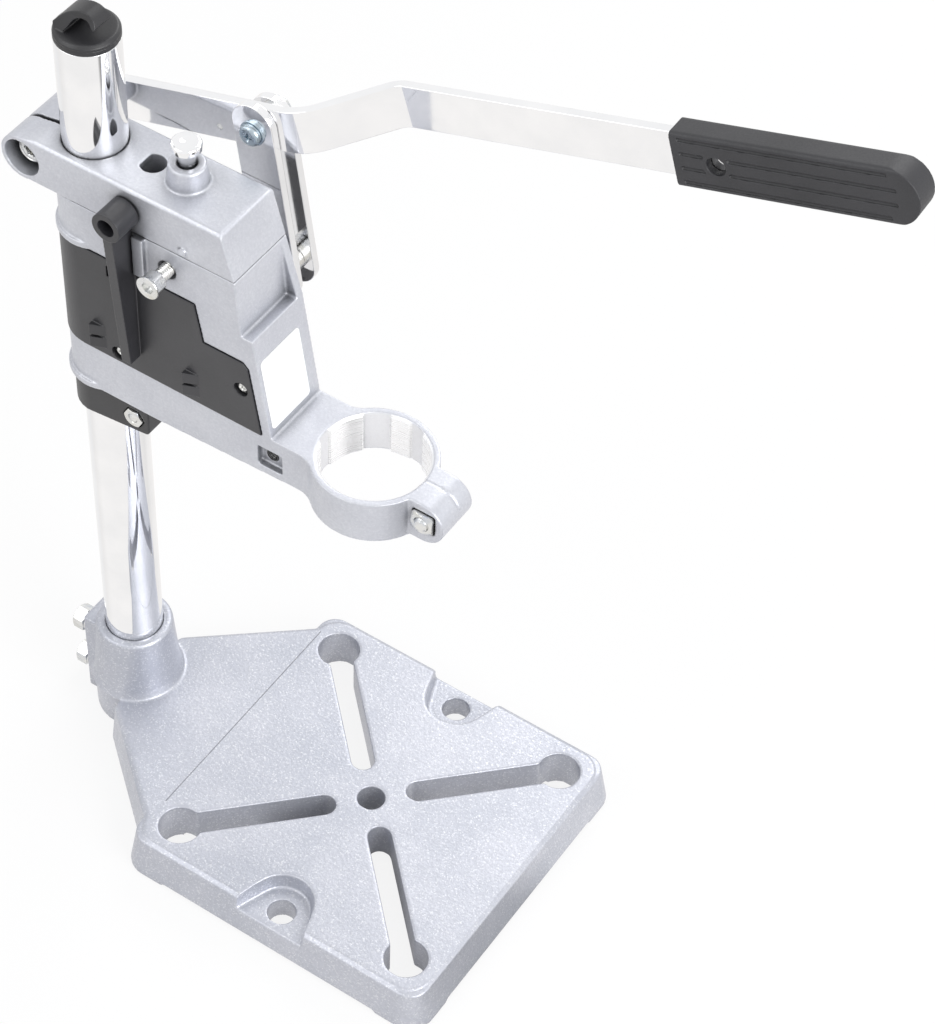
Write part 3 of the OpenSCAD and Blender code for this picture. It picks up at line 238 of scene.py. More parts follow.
def seamed(tree, coords, tone, height):
    # a fine parting line runs over the table where the tail begins
    place = node(tree, "ShaderNodeSeparateXYZ", Vector=coords).outputs
    off = worked(tree, "ABSOLUTE", worked(tree, "SUBTRACT", place[0], seam["x"]), 0.0)
    within = worked(tree, "MULTIPLY", worked(tree, "GREATER_THAN", place[1], seam["low"]),
                    worked(tree, "LESS_THAN", place[1], seam["high"]))
    line = worked(tree, "MULTIPLY", within, ranged(tree, off, seam["core"], seam["half"], 1, 0))
    tone = shaded(tree, tone, ranged(tree, line, 0, 1, 1.0, seam["dark"]))
    return tone, worked(tree, "SUBTRACT", height, worked(tree, "MULTIPLY", line, seam["deep"]))


def makeEnamel(name, kind):
    look = enamel[kind]
    material, tree, body = newMaterial(name, Metallic=enamel["metal"], Coat_Weight=enamel["coat"],
                                       Coat_Roughness=enamel["coatRough"])
    coords = placeCoords(tree)
    cloud = noiseOf(tree, coords, enamel["cloudSize"], 2)
    skin = noiseOf(tree, coords, enamel["skinSize"], 3, 0.6)
    flakes = node(tree, "ShaderNodeTexVoronoi", {"feature": "F1"}, Vector=coords,
                  Scale=1 / enamel["flakeSize"]).outputs["Color"]
    flake = node(tree, "ShaderNodeSeparateColor", Color=flakes).outputs[0]
    tone = blended(tree, ranged(tree, cloud, *cloudSpan), look["deep"], look["light"])
    grain = ranged(tree, skin, *enamel["skinSpan"])
    tone = blended(tree, ranged(tree, grain, 0, 1, look["pits"], 0), tone, enamel["pit"])
    tone = blended(tree, ranged(tree, flake, *enamel["flakeSpan"], 0, look["flake"]), tone, enamel["bare"])
    tone = rubbed(tree, coords, tone, enamel["bare"], enamel["wear"])
    rough = ranged(tree, flake, 0, 1, *enamel["rough"])
    height = worked(tree, "ADD", grain, worked(tree, "MULTIPLY", flake, enamel["flakeRise"]))
    if kind == "cast":
        tone, rough, height = boredBare(tree, coords, tone, rough, height)
    else:
        tone, height = seamed(tree, coords, tone, height)
    # painted shade: the enamel is darker in hollows and gaps
    tone = shaded(tree, tone, paintedShade(tree, enamel["shadeReach"], look["shade"]))
    finished(tree, body, tone, rough, height, enamel["bump"], look["depth"])
    return material


# bright plating. grain: how far the polishing marks are stretched along each axis
plating = {
    "bright": rgb(246, 246, 247), "dull": rgb(234, 235, 237), "streakSize": 1.1, "hazeSize": 18, "haze": 0.6,
    "printSize": 7, "printSpan": (0.56, 0.72), "printRough": 0.012, "bump": 0.12, "depth": 0.02,
    "columnPlate": {"grain": (1, 1, 0.05), "rough": (0.03, 0.07)},
    "strapPlate": {"grain": (0.06, 1, 0.4), "rough": (0.04, 0.09)},
    "rodPlate": {"grain": (1, 1, 0.05), "rough": (0.04, 0.08)},
    "springSteel": {"grain": (1, 1, 1), "rough": (0.25, 0.4)},
}


def makePlating(name):
    look = plating[name]
    material, tree, body = newMaterial(name, Metallic=1.0)
    streaks = noiseOf(tree, placeCoords(tree, look["grain"]), plating["streakSize"], 4, 0.7)
    haze = noiseOf(tree, placeCoords(tree), plating["hazeSize"])
    smears = noiseOf(tree, placeCoords(tree), plating["printSize"], 2)
    prints = ranged(tree, smears, *plating["printSpan"])
    hazy = ranged(tree, haze, *noiseSpan, 0, plating["haze"])
    tone = blended(tree, hazy, plating["bright"], plating["dull"])
    rough = worked(tree, "ADD", ranged(tree, streaks, *noiseSpan, *look["rough"]),
                   worked(tree, "MULTIPLY", prints, plating["printRough"]))
    finished(tree, body, tone, rough, streaks, plating["bump"], plating["depth"])
    return material


# zinc plating of bolts, nuts and screws
zinc = {
    "cloudSize": 5, "paleSpan": (0.35, 0.6), "tintSize": 11, "tintSpan": (0.4, 0.6), "speckSize": 0.5,
    "rough": (0.2, 0.36), "bump": 0.25, "depth": 0.03,
    "boltZinc": {"first": rgb(208, 212, 218), "second": rgb(216, 214, 206), "pale": rgb(232, 232, 230)},
    "blueZinc": {"first": rgb(160, 176, 190), "second": rgb(150, 162, 172), "pale": rgb(184, 196, 204)},
    "dullSteel": {"first": rgb(86, 86, 88), "second": rgb(112, 112, 112), "pale": rgb(112, 112, 112)},
}


def makeZinc(name):
    look = zinc[name]
    material, tree, body = newMaterial(name, Metallic=1.0)
    coords = placeCoords(tree)
    cloud = noiseOf(tree, coords, zinc["cloudSize"])
    tint = noiseOf(tree, coords, zinc["tintSize"], 2)
    tone = blended(tree, ranged(tree, tint, *zinc["tintSpan"]), look["first"], look["second"])
    tone = blended(tree, ranged(tree, cloud, *zinc["paleSpan"]), tone, look["pale"])
    rough = ranged(tree, cloud, *noiseSpan, *zinc["rough"])
    speck = noiseOf(tree, coords, zinc["speckSize"])
    finished(tree, body, tone, rough, speck, zinc["bump"], zinc["depth"])
    return material


# moulded plastic, with a fine spark-eroded grain
plastic = {
    "gloss": 0.62, "cloudSize": 22, "cloud": 0.35, "shadeReach": 4, "shade": 0.3, "bump": 0.4, "depth": 0.05,
    "wear": {"reach": 0.5, "patch": 3, "span": (0.4, 0.7), "share": (0.1, 0.6)},
    "coverPlastic": {"fresh": rgb(44, 44, 48), "worn": rgb(62, 62, 66), "grain": 0.45, "rough": (0.33, 0.46)},
    "darkPlastic": {"fresh": rgb(30, 30, 33), "worn": rgb(50, 50, 54), "grain": 0.45, "rough": (0.34, 0.48)},
    "gripPlastic": {"fresh": rgb(36, 36, 40), "worn": rgb(56, 56, 60), "grain": 0.7, "rough": (0.42, 0.58)},
}


def makePlastic(name):
    look = plastic[name]
    material, tree, body = newMaterial(name, Specular_IOR_Level=plastic["gloss"])
    coords = placeCoords(tree)
    grain = noiseOf(tree, coords, look["grain"], 3, 0.65)
    cloud = noiseOf(tree, coords, plastic["cloudSize"], 2)
    clouded = ranged(tree, cloud, *cloudSpan, 0, plastic["cloud"])
    tone = blended(tree, clouded, look["fresh"], look["worn"])
    tone = rubbed(tree, coords, tone, look["worn"], plastic["wear"])
    # painted shade: the plastic is darker in hollows and gaps
    tone = shaded(tree, tone, paintedShade(tree, plastic["shadeReach"], plastic["shade"]))
    rough = ranged(tree, grain, *noiseSpan, *look["rough"])
    finished(tree, body, tone, rough, grain, plastic["bump"], plastic["depth"])
    return material


# the bare label's coated paper
paper = {"coat": 0.25, "coatRough": 0.2, "fibreSize": 0.8, "light": rgb(250, 250, 250),
         "deep": rgb(244, 244, 244), "rough": (0.4, 0.5), "bump": 0.06, "depth": 0.01}


def makePaper(name):
    material, tree, body = newMaterial(name, Coat_Weight=paper["coat"], Coat_Roughness=paper["coatRough"])
    fibre = noiseOf(tree, placeCoords(tree), paper["fibreSize"], 4)
    tone = blended(tree, ranged(tree, fibre, *cloudSpan), paper["deep"], paper["light"])
    rough = ranged(tree, fibre, *noiseSpan, *paper["rough"])
    finished(tree, body, tone, rough, fibre, paper["bump"], paper["depth"])
    return material


baseEnamel, castEnamel = makeEnamel("baseEnamel", "base"), makeEnamel("castEnamel", "cast")
columnPlate, strapPlate = makePlating("columnPlate"), makePlating("strapPlate")
boltZinc, blueZinc, dullSteel = makeZinc("boltZinc"), makeZinc("blueZinc"), makeZinc("dullSteel")
rodPlate = makePlating("rodPlate")
coverPlastic, darkPlastic = makePlastic("coverPlastic"), makePlastic("darkPlastic")
gripPlastic = makePlastic("gripPlastic")
labelPaper = makePaper("labelPaper")
springSteel = makePlating("springSteel")
finishOf = {
    "casting_base": baseEnamel, "casting_head": castEnamel, "casting_carriage": castEnamel,
    "column_chrome": columnPlate, "lever_chrome": strapPlate, "zinc_steel": boltZinc,
    "spring_steel": springSteel, "black_plastic": darkPlastic, "cover_plastic": coverPlastic,
    "grip_plastic": gripPlastic, "blank_label": labelPaper,
}
print("materials are made")


# cast and moulded pieces: each solid's own shape, with every edge and corner as soft as a mould leaves it.
# grid: the fineness in millimetres, soften: the rounds of smoothing, keep: the share of faces kept
skins = {
    "base_plate": {"grid": 0.55, "soften": 7, "keep": 0.16},
    "head_casting": {"grid": 0.4, "soften": 4, "keep": 0.2},
    "carriage_casting": {"grid": 0.42, "soften": 5, "keep": 0.2, "with": ["carriage_arm"]},
    "near_cover": {"grid": 0.2, "soften": 2, "keep": 0.1},
    "far_cover": {"grid": 0.24, "soften": 2, "keep": 0.12},
    "guide_ring": {"grid": 0.36, "soften": 4, "keep": 0.2},
    "column_cap": {"grid": 0.25, "soften": 5, "keep": 0.4},
    "lever_grip": {"grid": 0.3, "soften": 4, "keep": 0.3},
}
smoothShare, flatWeight = 0.5, 80


def evaluated(piece):
    bpy.context.view_layer.update()
    whole = bpy.data.meshes.new_from_object(piece.evaluated_get(bpy.context.evaluated_depsgraph_get()))
    whole.materials.clear()
    return whole


def unitedShape(first, others):
    piece = linked("joining", cleanCopy(first))
    spares = [linked("joined", cleanCopy(other)) for other in others]
    for spare in spares:
        join = piece.modifiers.new("join", "BOOLEAN")
        join.operation, join.solver, join.object = "UNION", "EXACT", spare
    mesh = evaluated(piece) if spares else piece.data
    for old in [piece, *spares]:
        bpy.data.objects.remove(old)
    return mesh


def makeSkin(solid, plan):
    others = plan.get("with", [])
    piece = linked("skin", unitedShape(solid, others))
    lattice = piece.modifiers.new("lattice", "REMESH")
    lattice.mode, lattice.voxel_size = "VOXEL", plan["grid"] * mm
    soft = piece.modifiers.new("soft", "SMOOTH")
    soft.factor, soft.iterations = smoothShare, plan["soften"]
    thin = piece.modifiers.new("thin", "DECIMATE")
    thin.ratio = plan["keep"]
    mesh = evaluated(piece)
    bpy.data.objects.remove(piece)
    mesh.polygons.foreach_set("use_smooth", [True] * len(mesh.polygons))
    mesh.materials.append(finishOf[slotOf[solid]])
    done = linked(solid + "_skin", mesh)
    even = done.modifiers.new("even", "WEIGHTED_NORMAL")
    even.weight = flatWeight
    setDown(done, solid, *others)
    print(solid, "skin faces:", len(mesh.polygons))


for name, plan in skins.items():
    makeSkin(name, plan)
print("castings and mouldings are made")


# bent and cut metal keeps its crisp outline and gets a narrow edge
edges = {
    "widths": {"lever_bar": 0.4, "inner_link": 0.4, "outer_link": 0.4, "column_tube": 0.3,
               "link_washer": 0.2},
    "segments": 2, "angle": 34,
}


def makeEdged(solid, width):
    mesh = cleanCopy(solid)
    piece = linked(solid + "_shell", mesh)
    smoothBy(mesh, edges["angle"])
    edge = piece.modifiers.new("edges", "BEVEL")
    edge.width = width * mm
    edge.segments = edges["segments"]
    edge.limit_method = "ANGLE"
    edge.angle_limit = math.radians(edges["angle"])
    edge.use_clamp_overlap = False
    edge.harden_normals = True
    edge.miter_outer = "MITER_ARC"
    mesh.materials.append(finishOf[slotOf[solid]])
    setDown(piece, solid)


for name, width in edges["widths"].items():
    makeEdged(name, width)
print("strap, links and column are made")


# bolts, nuts and screws: rings along an axis. A ring is its place on the axis, its radius and,
# where it isn't round, the reach of its outline at each turn. All lengths are millimetres

def hexReach(flats):
    # how far a hexagon reaches at each turn, its corner at turn 0
    return lambda turn, at: flats / 2 / math.cos(turn % (math.pi / 3) - math.pi / 6)


def squareReach(flats):
    return lambda turn, at: flats / 2 / math.cos((turn + math.pi / 4) % (math.pi / 2) - math.pi / 4)


def crossReach(length, width):
    def reach(turn, at):
        offset = abs((turn + math.pi / 4) % (math.pi / 2) - math.pi / 4)
        if length * math.tan(offset) < width:
            return length / math.cos(offset)
        return width / math.sin(offset)
    return reach


def threadRings(start, end, radius, pitch, deep, perTurn=6):
    def reach(turn, at):
        share = (at / pitch - turn / math.tau) % 1
        return radius - deep * abs(2 * share - 1)
    count = max(2, round(abs(end - start) / pitch * perTurn))
    return [(start + (end - start) * k / count, radius, reach) for k in range(count + 1)]


def placed(start, profile, reach=None):
    # a profile's rings, measured from start
    return [(start + along, radius, reach) for along, radius in profile]


def chamfer(start, deep, first, last, reach, steps=5):
    return [(start + deep * k / steps, first + (last - first) * k / steps, reach)
            for k in range(steps + 1)]


def ringMesh(bm, at, axis, up, rings, closed, steps):
    axis, up = Vector(axis).normalized(), Vector(up).normalized()
    side = axis.cross(up)
    loops = []
    for along, radius, *rest in rings:
        cap = rest[0] if rest else None
        if radius == 0:
            loops.append([bm.verts.new((Vector(at) + axis * along) * mm)])
            continue
        loop = []
        for k in range(steps):
            turn = math.tau * k / steps
            reach = min(radius, cap(turn, along)) if cap else radius
            place = Vector(at) + axis * along + (up * math.cos(turn) + side * math.sin(turn)) * reach
            loop.append(bm.verts.new(place * mm))
        loops.append(loop)
    pairs = list(zip(loops, loops[1:])) + ([(loops[-1], loops[0])] if closed else [])
    for low, high in pairs:
        for k in range(steps):
            j = (k + 1) % steps
            if len(low) == 1 and len(high) > 1:
                bm.faces.new((low[0], high[j], high[k]))
            elif len(high) == 1 and len(low) > 1:
                bm.faces.new((low[k], low[j], high[0]))
            elif len(low) > 1:
                bm.faces.new((low[k], low[j], high[j], high[k]))


yAxis, xAxis, zAxis = (0, 1, 0), (1, 0, 0), (0, 0, 1)
sharpFrom = 32


def turned(name, places, rings, material, closed=False, axis=yAxis, up=xAxis, steps=48):
    bm = bmesh.new()
    for at in places:
        ringMesh(bm, at, axis, up, rings, closed, steps)
    mesh = closedMesh(name, bm, material)
    smoothBy(mesh, sharpFrom)
    return linked(name, mesh)


# a bolt head's corners and the round face inside its chamfer, as shares of its width across flats
cornerShare, faceShare = 0.5775, 0.47
nut = {"face": 0.485, "corner": 1.1547, "past": 0.05, "slope": 0.5, "mouth": 1.12}


def makeNut(name, solid, at, flats, height, bore, reach=hexReach, corner=nut["corner"]):
    # a pressed nut with both faces chamfered, and the thread's mouth countersunk
    face, far = flats * nut["face"], flats / 2 * corner + nut["past"]
    rise = chamfer(0, (far - face) * nut["slope"], face, far, reach(flats))
    fall = [(height - along, radius, cap) for along, radius, cap in reversed(rise)]
    mouth = bore * nut["mouth"]
    rings = [(0, mouth), *rise, *fall, (height, mouth), (height - mouth + bore, bore), (mouth - bore, bore)]
    setDown(turned(name, [at], rings, boltZinc, closed=True), solid)


# in the settings below, thread: its radius, pitch and depth, tip: how far its end is drawn in along
# the axis and towards it. A profile is a row of (place on the axis, radius)
pivot = {
    "x": -149, "z": 322.8, "shank": 4, "end": 40.9, "threadFrom": 38, "thread": (4, 1.25, 0.5),
    "tip": (0.5, 0.8), "head": -11, "headWide": 5.4, "headLong": 5, "headEdge": 0.3, "socket": 5.2,
    "socketFloor": ((0.7, 0), (0.8, 0.9), (1.3, 1.6), (2.6, 1.8)), "socketWall": ((2.7, 2.9), (0.4, 2.9)),
    "face": ((0.1, 3.0), (0, 3.3), (0, 4.1), (0.25, 4.4), (0.25, 4.6), (0, 4.8), (0.1, 5.2), (0.5, 5.4)),
    "washer": 32.5, "washerWide": 8, "washerThick": 1.4, "washerEdge": (0.25, 0.2), "washerPlay": 0.15,
    "nut": 33.9, "nutFlats": 13, "nutHigh": 6, "nutPlay": 0.08,
}


def makePivot():
    at, shank = (pivot["x"], 0, pivot["z"]), pivot["shank"]
    start, wide, edge = pivot["head"], pivot["headWide"], pivot["headEdge"]
    under, threadFrom, end = start + pivot["headLong"], pivot["threadFrom"], pivot["end"]
    tipLong, tipIn = pivot["tip"]
    rings = placed(start, pivot["socketFloor"])
    rings += placed(start, pivot["socketWall"], hexReach(pivot["socket"]))
    rings += placed(start, pivot["face"])
    rings += [(under - edge, wide), (under, wide - edge), (under, shank), (threadFrom, shank)]
    rings += threadRings(threadFrom, end - tipLong, *pivot["thread"])
    rings += [(end, shank - tipIn), (end, 0)]
    setDown(turned("pivotBolt", [at], rings, boltZinc), "pivot_bolt")
    inset, drop = pivot["washerEdge"]
    low, wide, hole = pivot["washer"], pivot["washerWide"], shank + pivot["washerPlay"]
    high = low + pivot["washerThick"]
    rings = [(low, hole), (low, wide - inset), (low + drop, wide), (high - drop, wide), (high, wide - inset),
             (high, hole)]
    setDown(turned("pivotWasher", [at], rings, boltZinc, closed=True), "pivot_washer")
    makeNut("pivotNut", "pivot_nut", (pivot["x"], pivot["nut"], pivot["z"]), pivot["nutFlats"],
            pivot["nutHigh"], shank + pivot["nutPlay"])


linkBolts = {
    "topX": -72.1425, "topZ": 345.712, "footX": -62.5428, "footZ": 279.909, "shank": 3,
    "inner": 24.8, "outer": 39.0, "nutFlats": 9, "nutHigh": 4, "nutPlay": 0.08, "threadFrom": 2, "past": 1,
    "thread": (3, 1.0, 0.4), "tip": (0.4, 0.6), "cross": (2.1, 0.42), "crossFloor": -2.1,
    "crossWall": ((-2.1, 0.9), (-3.3, 2.1)),
    "dome": ((-3.4, 2.6), (-3.32, 3.3), (-3.05, 3.9), (-2.6, 4.3), (-2.1, 4.5), (-1.85, 4.5), (-1.8, 3.8),
             (-1.75, 3.8)),
    "springWasher": ((-1.7, 4.55), (-0.85, 4.55)), "springSplit": (4.1, 0.45, 0.1, 4.0),
    "washer": ((-0.8, 3.8), (-0.75, 3.8), (-0.7, 5.1), (-0.6, 5.2), (-0.1, 5.2), (0, 5.1)),
    "footUnder": 0.1, "footChamfer": 0.7, "footFace": ((0, 2.7), (-0.35, 2.3), (-0.35, 0)),
    "spacer": (28.35, 35.45, 5.4), "edge": 0.3,
}


def splitReach(turn, at):
    # the spring washer is split on a slant: where the split starts, its slant, half width and floor
    start, slant, half, floor = linkBolts["springSplit"]
    return floor if abs((turn - start - at * slant) % math.tau - half) < half else math.inf


def makeLinkBolts():
    inner, outer, shank, flats = (linkBolts[key] for key in ("inner", "outer", "shank", "nutFlats"))
    top = (linkBolts["topX"], 0, linkBolts["topZ"])
    foot = (linkBolts["footX"], 0, linkBolts["footZ"])
    nutEnd, hole = outer + linkBolts["nutHigh"], shank + linkBolts["nutPlay"]
    threadFrom, end = outer + linkBolts["threadFrom"], nutEnd + linkBolts["past"]
    tipLong, tipIn = linkBolts["tip"]
    rings = [(inner + linkBolts["crossFloor"], 0)]
    rings += placed(inner, linkBolts["crossWall"], crossReach(*linkBolts["cross"]))
    rings += placed(inner, linkBolts["dome"])
    rings += placed(inner, linkBolts["springWasher"], splitReach)
    rings += placed(inner, linkBolts["washer"]) + [(inner, shank), (threadFrom, shank)]
    rings += threadRings(threadFrom, end - tipLong, *linkBolts["thread"])
    rings += [(end, shank - tipIn), (end, 0)]
    setDown(turned("linkTopBolt", [top], rings, blueZinc, steps=72), "link_top_bolt")
    makeNut("linkTopNut", "link_top_nut", (top[0], outer, top[2]), flats, linkBolts["nutHigh"], hole)
    corner, face, hexagon = flats * cornerShare, flats * faceShare, hexReach(flats)
    edge, deep = linkBolts["edge"], linkBolts["footChamfer"]
    rings = [(inner, 0), (inner, shank - edge), (inner + edge, shank), (outer, shank),
             (outer, corner - linkBolts["footUnder"], hexagon)]
    rings += chamfer(nutEnd - deep, deep, corner, face, hexagon) + placed(nutEnd, linkBolts["footFace"])
    setDown(turned("linkFootBolt", [foot], rings, boltZinc), "link_bottom_bolt")
    low, high, wide = linkBolts["spacer"]
    rings = [(low, hole), (low, wide - edge), (low + edge, wide), (high - edge, wide), (high, wide - edge),
             (high, hole)]
    setDown(turned("linkSpacer", [foot], rings, boltZinc, closed=True), "link_spacer")


setBolts = {
    "x": -126, "heights": (9.6, 33.9), "start": 12.7, "neck": 25.5, "end": 32.0, "flats": 10,
    "point": ((0, 0), (0, 2.4), (0.5, 3)), "threadFrom": 0.6, "thread": (3, 1.0, 0.42),
    "collar": ((0, 4.6), (0.5, 4.7)), "collarLong": 0.5, "rise": 0.6, "fall": 0.8,
    "face": ((0, 3.6), (-0.25, 3.2)), "slot": (2.6, 0.5), "slotWall": ((-0.25, 2.6), (-1.6, 1.2)),
    "slotFloor": -1.6,
}


def makeSetBolts():
    start, neck, end, flats, fall = (setBolts[key] for key in ("start", "neck", "end", "flats", "fall"))
    corner, face, hexagon = flats * cornerShare, flats * faceShare, hexReach(flats)
    rings = placed(start, setBolts["point"])
    rings += threadRings(start + setBolts["threadFrom"], neck, *setBolts["thread"])
    rings += placed(neck, setBolts["collar"])
    rings += chamfer(neck + setBolts["collarLong"], setBolts["rise"], face, corner, hexagon)
    rings += chamfer(end - fall, fall, corner, face, hexagon) + placed(end, setBolts["face"])
    rings += placed(end, setBolts["slotWall"], crossReach(*setBolts["slot"]))
    rings += [(end + setBolts["slotFloor"], 0)]
    places = [(setBolts["x"], 0, height) for height in setBolts["heights"]]
    setDown(turned("socketBolts", places, rings, boltZinc, axis=(-1, 0, 0), up=zAxis), "socket_bolts")


coverScrews = {
    "places": ((-108.6, 243.3), (-49.8, 259.0)), "front": -15.4, "end": -4.2, "shank": 1.4, "tip": (1.2, 0.5),
    "cross": (1.25, 0.28), "crossFloor": 0.9, "crossWall": ((0.9, 0.5), (0.1, 1.25)),
    "head": ((0, 1.5), (0.1, 1.85), (0.4, 2.15), (0.8, 2.28), (1.2, 2.3), (1.2, 1.4)),
}


def makeCoverScrews():
    front, end, (tipLong, tipWide) = coverScrews["front"], coverScrews["end"], coverScrews["tip"]
    rings = [(front + coverScrews["crossFloor"], 0)]
    rings += placed(front, coverScrews["crossWall"], crossReach(*coverScrews["cross"]))
    rings += placed(front, coverScrews["head"])
    rings += [(end - tipLong, coverScrews["shank"]), (end, tipWide), (end, 0)]
    places = [(x, 0, z) for x, z in coverScrews["places"]]
    setDown(turned("coverScrews", places, rings, boltZinc), "cover_screws")


ringScrew = {
    "x": -104.4, "z": 208.7, "start": -16.2, "seat": 13.8, "end": 15.8, "thread": (2, 0.8, 0.32),
    "threadSpan": (0.3, 4), "point": ((0, 0), (0, 1.5), (0.3, 1.9)),
    "head": ((0, 2), (0, 3.5), (0.2, 3.6), (0.9, 3.5), (1.5, 3.0), (1.85, 2.3), (2.0, 1.9)),
    "cross": (1.7, 0.36), "crossFloor": -1, "crossWall": ((-0.1, 1.7), (-1, 0.7)),
    "nutFlats": 8, "nutHigh": 2.4, "nutBore": 2.08,
}


def makeRingScrew():
    start, end, at = ringScrew["start"], ringScrew["end"], (ringScrew["x"], 0, ringScrew["z"])
    low, high = ringScrew["threadSpan"]
    rings = placed(start, ringScrew["point"])
    rings += threadRings(start + low, start + high, *ringScrew["thread"])
    rings += placed(ringScrew["seat"], ringScrew["head"])
    rings += placed(end, ringScrew["crossWall"], crossReach(*ringScrew["cross"]))
    rings += [(end + ringScrew["crossFloor"], 0)]
    setDown(turned("ringScrew", [at], rings, boltZinc), "guide_ring_screw")
    makeNut("ringNut", "guide_ring_nut", (at[0], start, at[2]), ringScrew["nutFlats"], ringScrew["nutHigh"],
            ringScrew["nutBore"])


clamp = {
    "x": 29.5, "z": 230.4, "start": -13.0, "seat": 7.4, "end": 11.8, "thread": (3, 1.0, 0.42),
    "threadSpan": (0.5, 8), "point": ((0, 0), (0, 2.2)), "under": ((0, 3), (0, 4.4), (0.2, 4.6)),
    "face": ((-0.4, 4.6), (-0.1, 4.45), (0, 4.1), (0, 2.9)), "socket": 4.6,
    "socketWall": ((-0.25, 2.6), (-2.5, 2.6)), "socketFloor": -2.8,
    "nut": -12.0, "nutFlats": 9.6, "nutHigh": 4.6, "nutBore": 3.08, "nutCorner": 1.3,
}


def makeClamp():
    start, end, at = clamp["start"], clamp["end"], (clamp["x"], 0, clamp["z"])
    low, high = clamp["threadSpan"]
    rings = placed(start, clamp["point"]) + threadRings(start + low, start + high, *clamp["thread"])
    rings += placed(clamp["seat"], clamp["under"]) + placed(end, clamp["face"])
    rings += placed(end, clamp["socketWall"], hexReach(clamp["socket"])) + [(end + clamp["socketFloor"], 0)]
    setDown(turned("clampBolt", [at], rings, boltZinc), "collar_clamp_bolt")
    makeNut("clampNut", "collar_clamp_nut", (at[0], clamp["nut"], at[2]), clamp["nutFlats"], clamp["nutHigh"],
            clamp["nutBore"], squareReach, clamp["nutCorner"])


lock = {
    "x": -82.5, "z": 302.6, "front": -28.0, "neck": -21.5, "end": -2.7, "flats": 8.4, "socket": 4.6,
    "thread": (3, 1.0, 0.42), "threadFrom": 0.1, "threadEnd": -8, "socketFloor": 2.4,
    "socketWall": ((2.2, 2.3), (0.3, 2.5)), "rim": ((0, 2.9), (0, 4.5), (0.12, 4.85), (0.45, 5), (0.9, 4.9)),
    "body": ((1.2, 4.75),), "taper": ((-0.7, 4.75), (-0.3, 4.3)), "under": ((0, 3.9), (0, 3.0)),
    "point": ((-0.6, 3), (0, 2.2), (0, 0)),
}


def makeLockScrew():
    front, neck, end, hexagon = lock["front"], lock["neck"], lock["end"], hexReach(lock["flats"])
    rings = [(front + lock["socketFloor"], 0)]
    rings += placed(front, lock["socketWall"], hexReach(lock["socket"])) + placed(front, lock["rim"])
    rings += placed(front, lock["body"], hexagon) + placed(neck, lock["taper"], hexagon)
    rings += placed(neck, lock["under"])
    rings += threadRings(neck + lock["threadFrom"], lock["threadEnd"], *lock["thread"])
    rings += placed(end, lock["point"])
    at = (lock["x"], 0, lock["z"])
    setDown(turned("lockScrew", [at], rings, boltZinc, steps=72), "depth_lock_screw")


rod = {
    "x": -84, "y": 1, "foot": 239.7, "footShape": ((0, 0), (0, 2.9), (0.6, 3.5)), "neck": 348.1,
    "neckShape": ((0, 3.5), (0.5, 3.7), (1.1, 4.6), (1.4, 5.6), (1.6, 5.85)), "knob": 5.9, "bend": 1.25,
    "top": 352.85, "dimple": ((0, 1.0), (-0.12, 0.7), (-0.12, 0)),
}


def makeRod():
    top, knob, bend = rod["top"], rod["knob"], rod["bend"]
    rings = placed(rod["foot"], rod["footShape"]) + placed(rod["neck"], rod["neckShape"])
    for angle in range(0, 91, 15):
        turn = math.radians(angle)
        rings.append((top - bend + bend * math.sin(turn), knob - bend + bend * math.cos(turn)))
    rings += placed(top, rod["dimple"])
    at = (rod["x"], rod["y"], 0)
    setDown(turned("depthRod", [at], rings, rodPlate, axis=zAxis, steps=64), "depth_rod")


# the threaded bush in the arm's pocket
pocket = {"at": (-38.3, 0, 226.3), "front": -12.9, "back": -5, "wide": 2.58, "bore": 2.05,
          "thread": (2.4, 0.9, 0.35), "threadEnds": (0.1, 0.3), "mouth": 0.25}


def makePocketBush():
    front, back, wide, bore = (pocket[key] for key in ("front", "back", "wide", "bore"))
    deep, shallow = pocket["threadEnds"]
    rings = [(front, bore + pocket["mouth"]), (front, wide), (back, wide), (back, bore)]
    rings += threadRings(back - deep, front + shallow, *pocket["thread"])
    piece = turned("pocketBush", [pocket["at"]], rings, dullSteel, closed=True)
    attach(piece, "carriage")


# a bare sheet with round corners, stuck on the leaning face
label = {"x": -37.04, "y": -2, "z": 242.46, "lean": 8.9, "wide": 24, "long": 33.5, "thick": 0.28,
         "corner": 1.8, "edge": 0.12, "cornerPoints": 7}


def makeLabel():
    lean = math.radians(label["lean"])
    up = Vector((-math.sin(lean), 0, math.cos(lean)))
    out = Vector((math.cos(lean), 0, math.sin(lean)))
    foot = Vector((label["x"], label["y"], label["z"]))
    thick, edge, points = label["thick"], label["edge"], label["cornerPoints"]
    bm = bmesh.new()
    loops = []
    for inset, lift in ((0, 0), (0, thick - edge), (edge, thick)):
        half, long, bend = label["wide"] / 2 - inset, label["long"] - inset, label["corner"] - inset
        loop = []
        for side, top, start in ((1, 0, -90), (1, 1, 0), (-1, 1, 90), (-1, 0, 180)):
            centre = (side * (half - bend), (long - bend) if top else inset + bend)
            for k in range(points):
                turn = math.radians(start + 90 * k / (points - 1))
                across, rise = centre[0] + bend * math.cos(turn), centre[1] + bend * math.sin(turn)
                loop.append(bm.verts.new((foot + up * rise + out * lift + Vector((0, across, 0))) * mm))
        loops.append(loop)
    count = len(loops[0])
    for low, high in zip(loops, loops[1:]):
        for k in range(count):
            bm.faces.new((low[k], low[(k + 1) % count], high[(k + 1) % count], high[k]))
    bm.faces.new(loops[0])
    bm.faces.new(loops[-1])
    setDown(linked("bareLabel", closedMesh("label", bm, labelPaper)), "label_plate")


for make in (makePivot, makeLinkBolts, makeSetBolts, makeCoverScrews, makeRingScrew, makeClamp,
             makeLockScrew, makeRod, makePocketBush, makeLabel):
    make()
print("fasteners and the label are made")

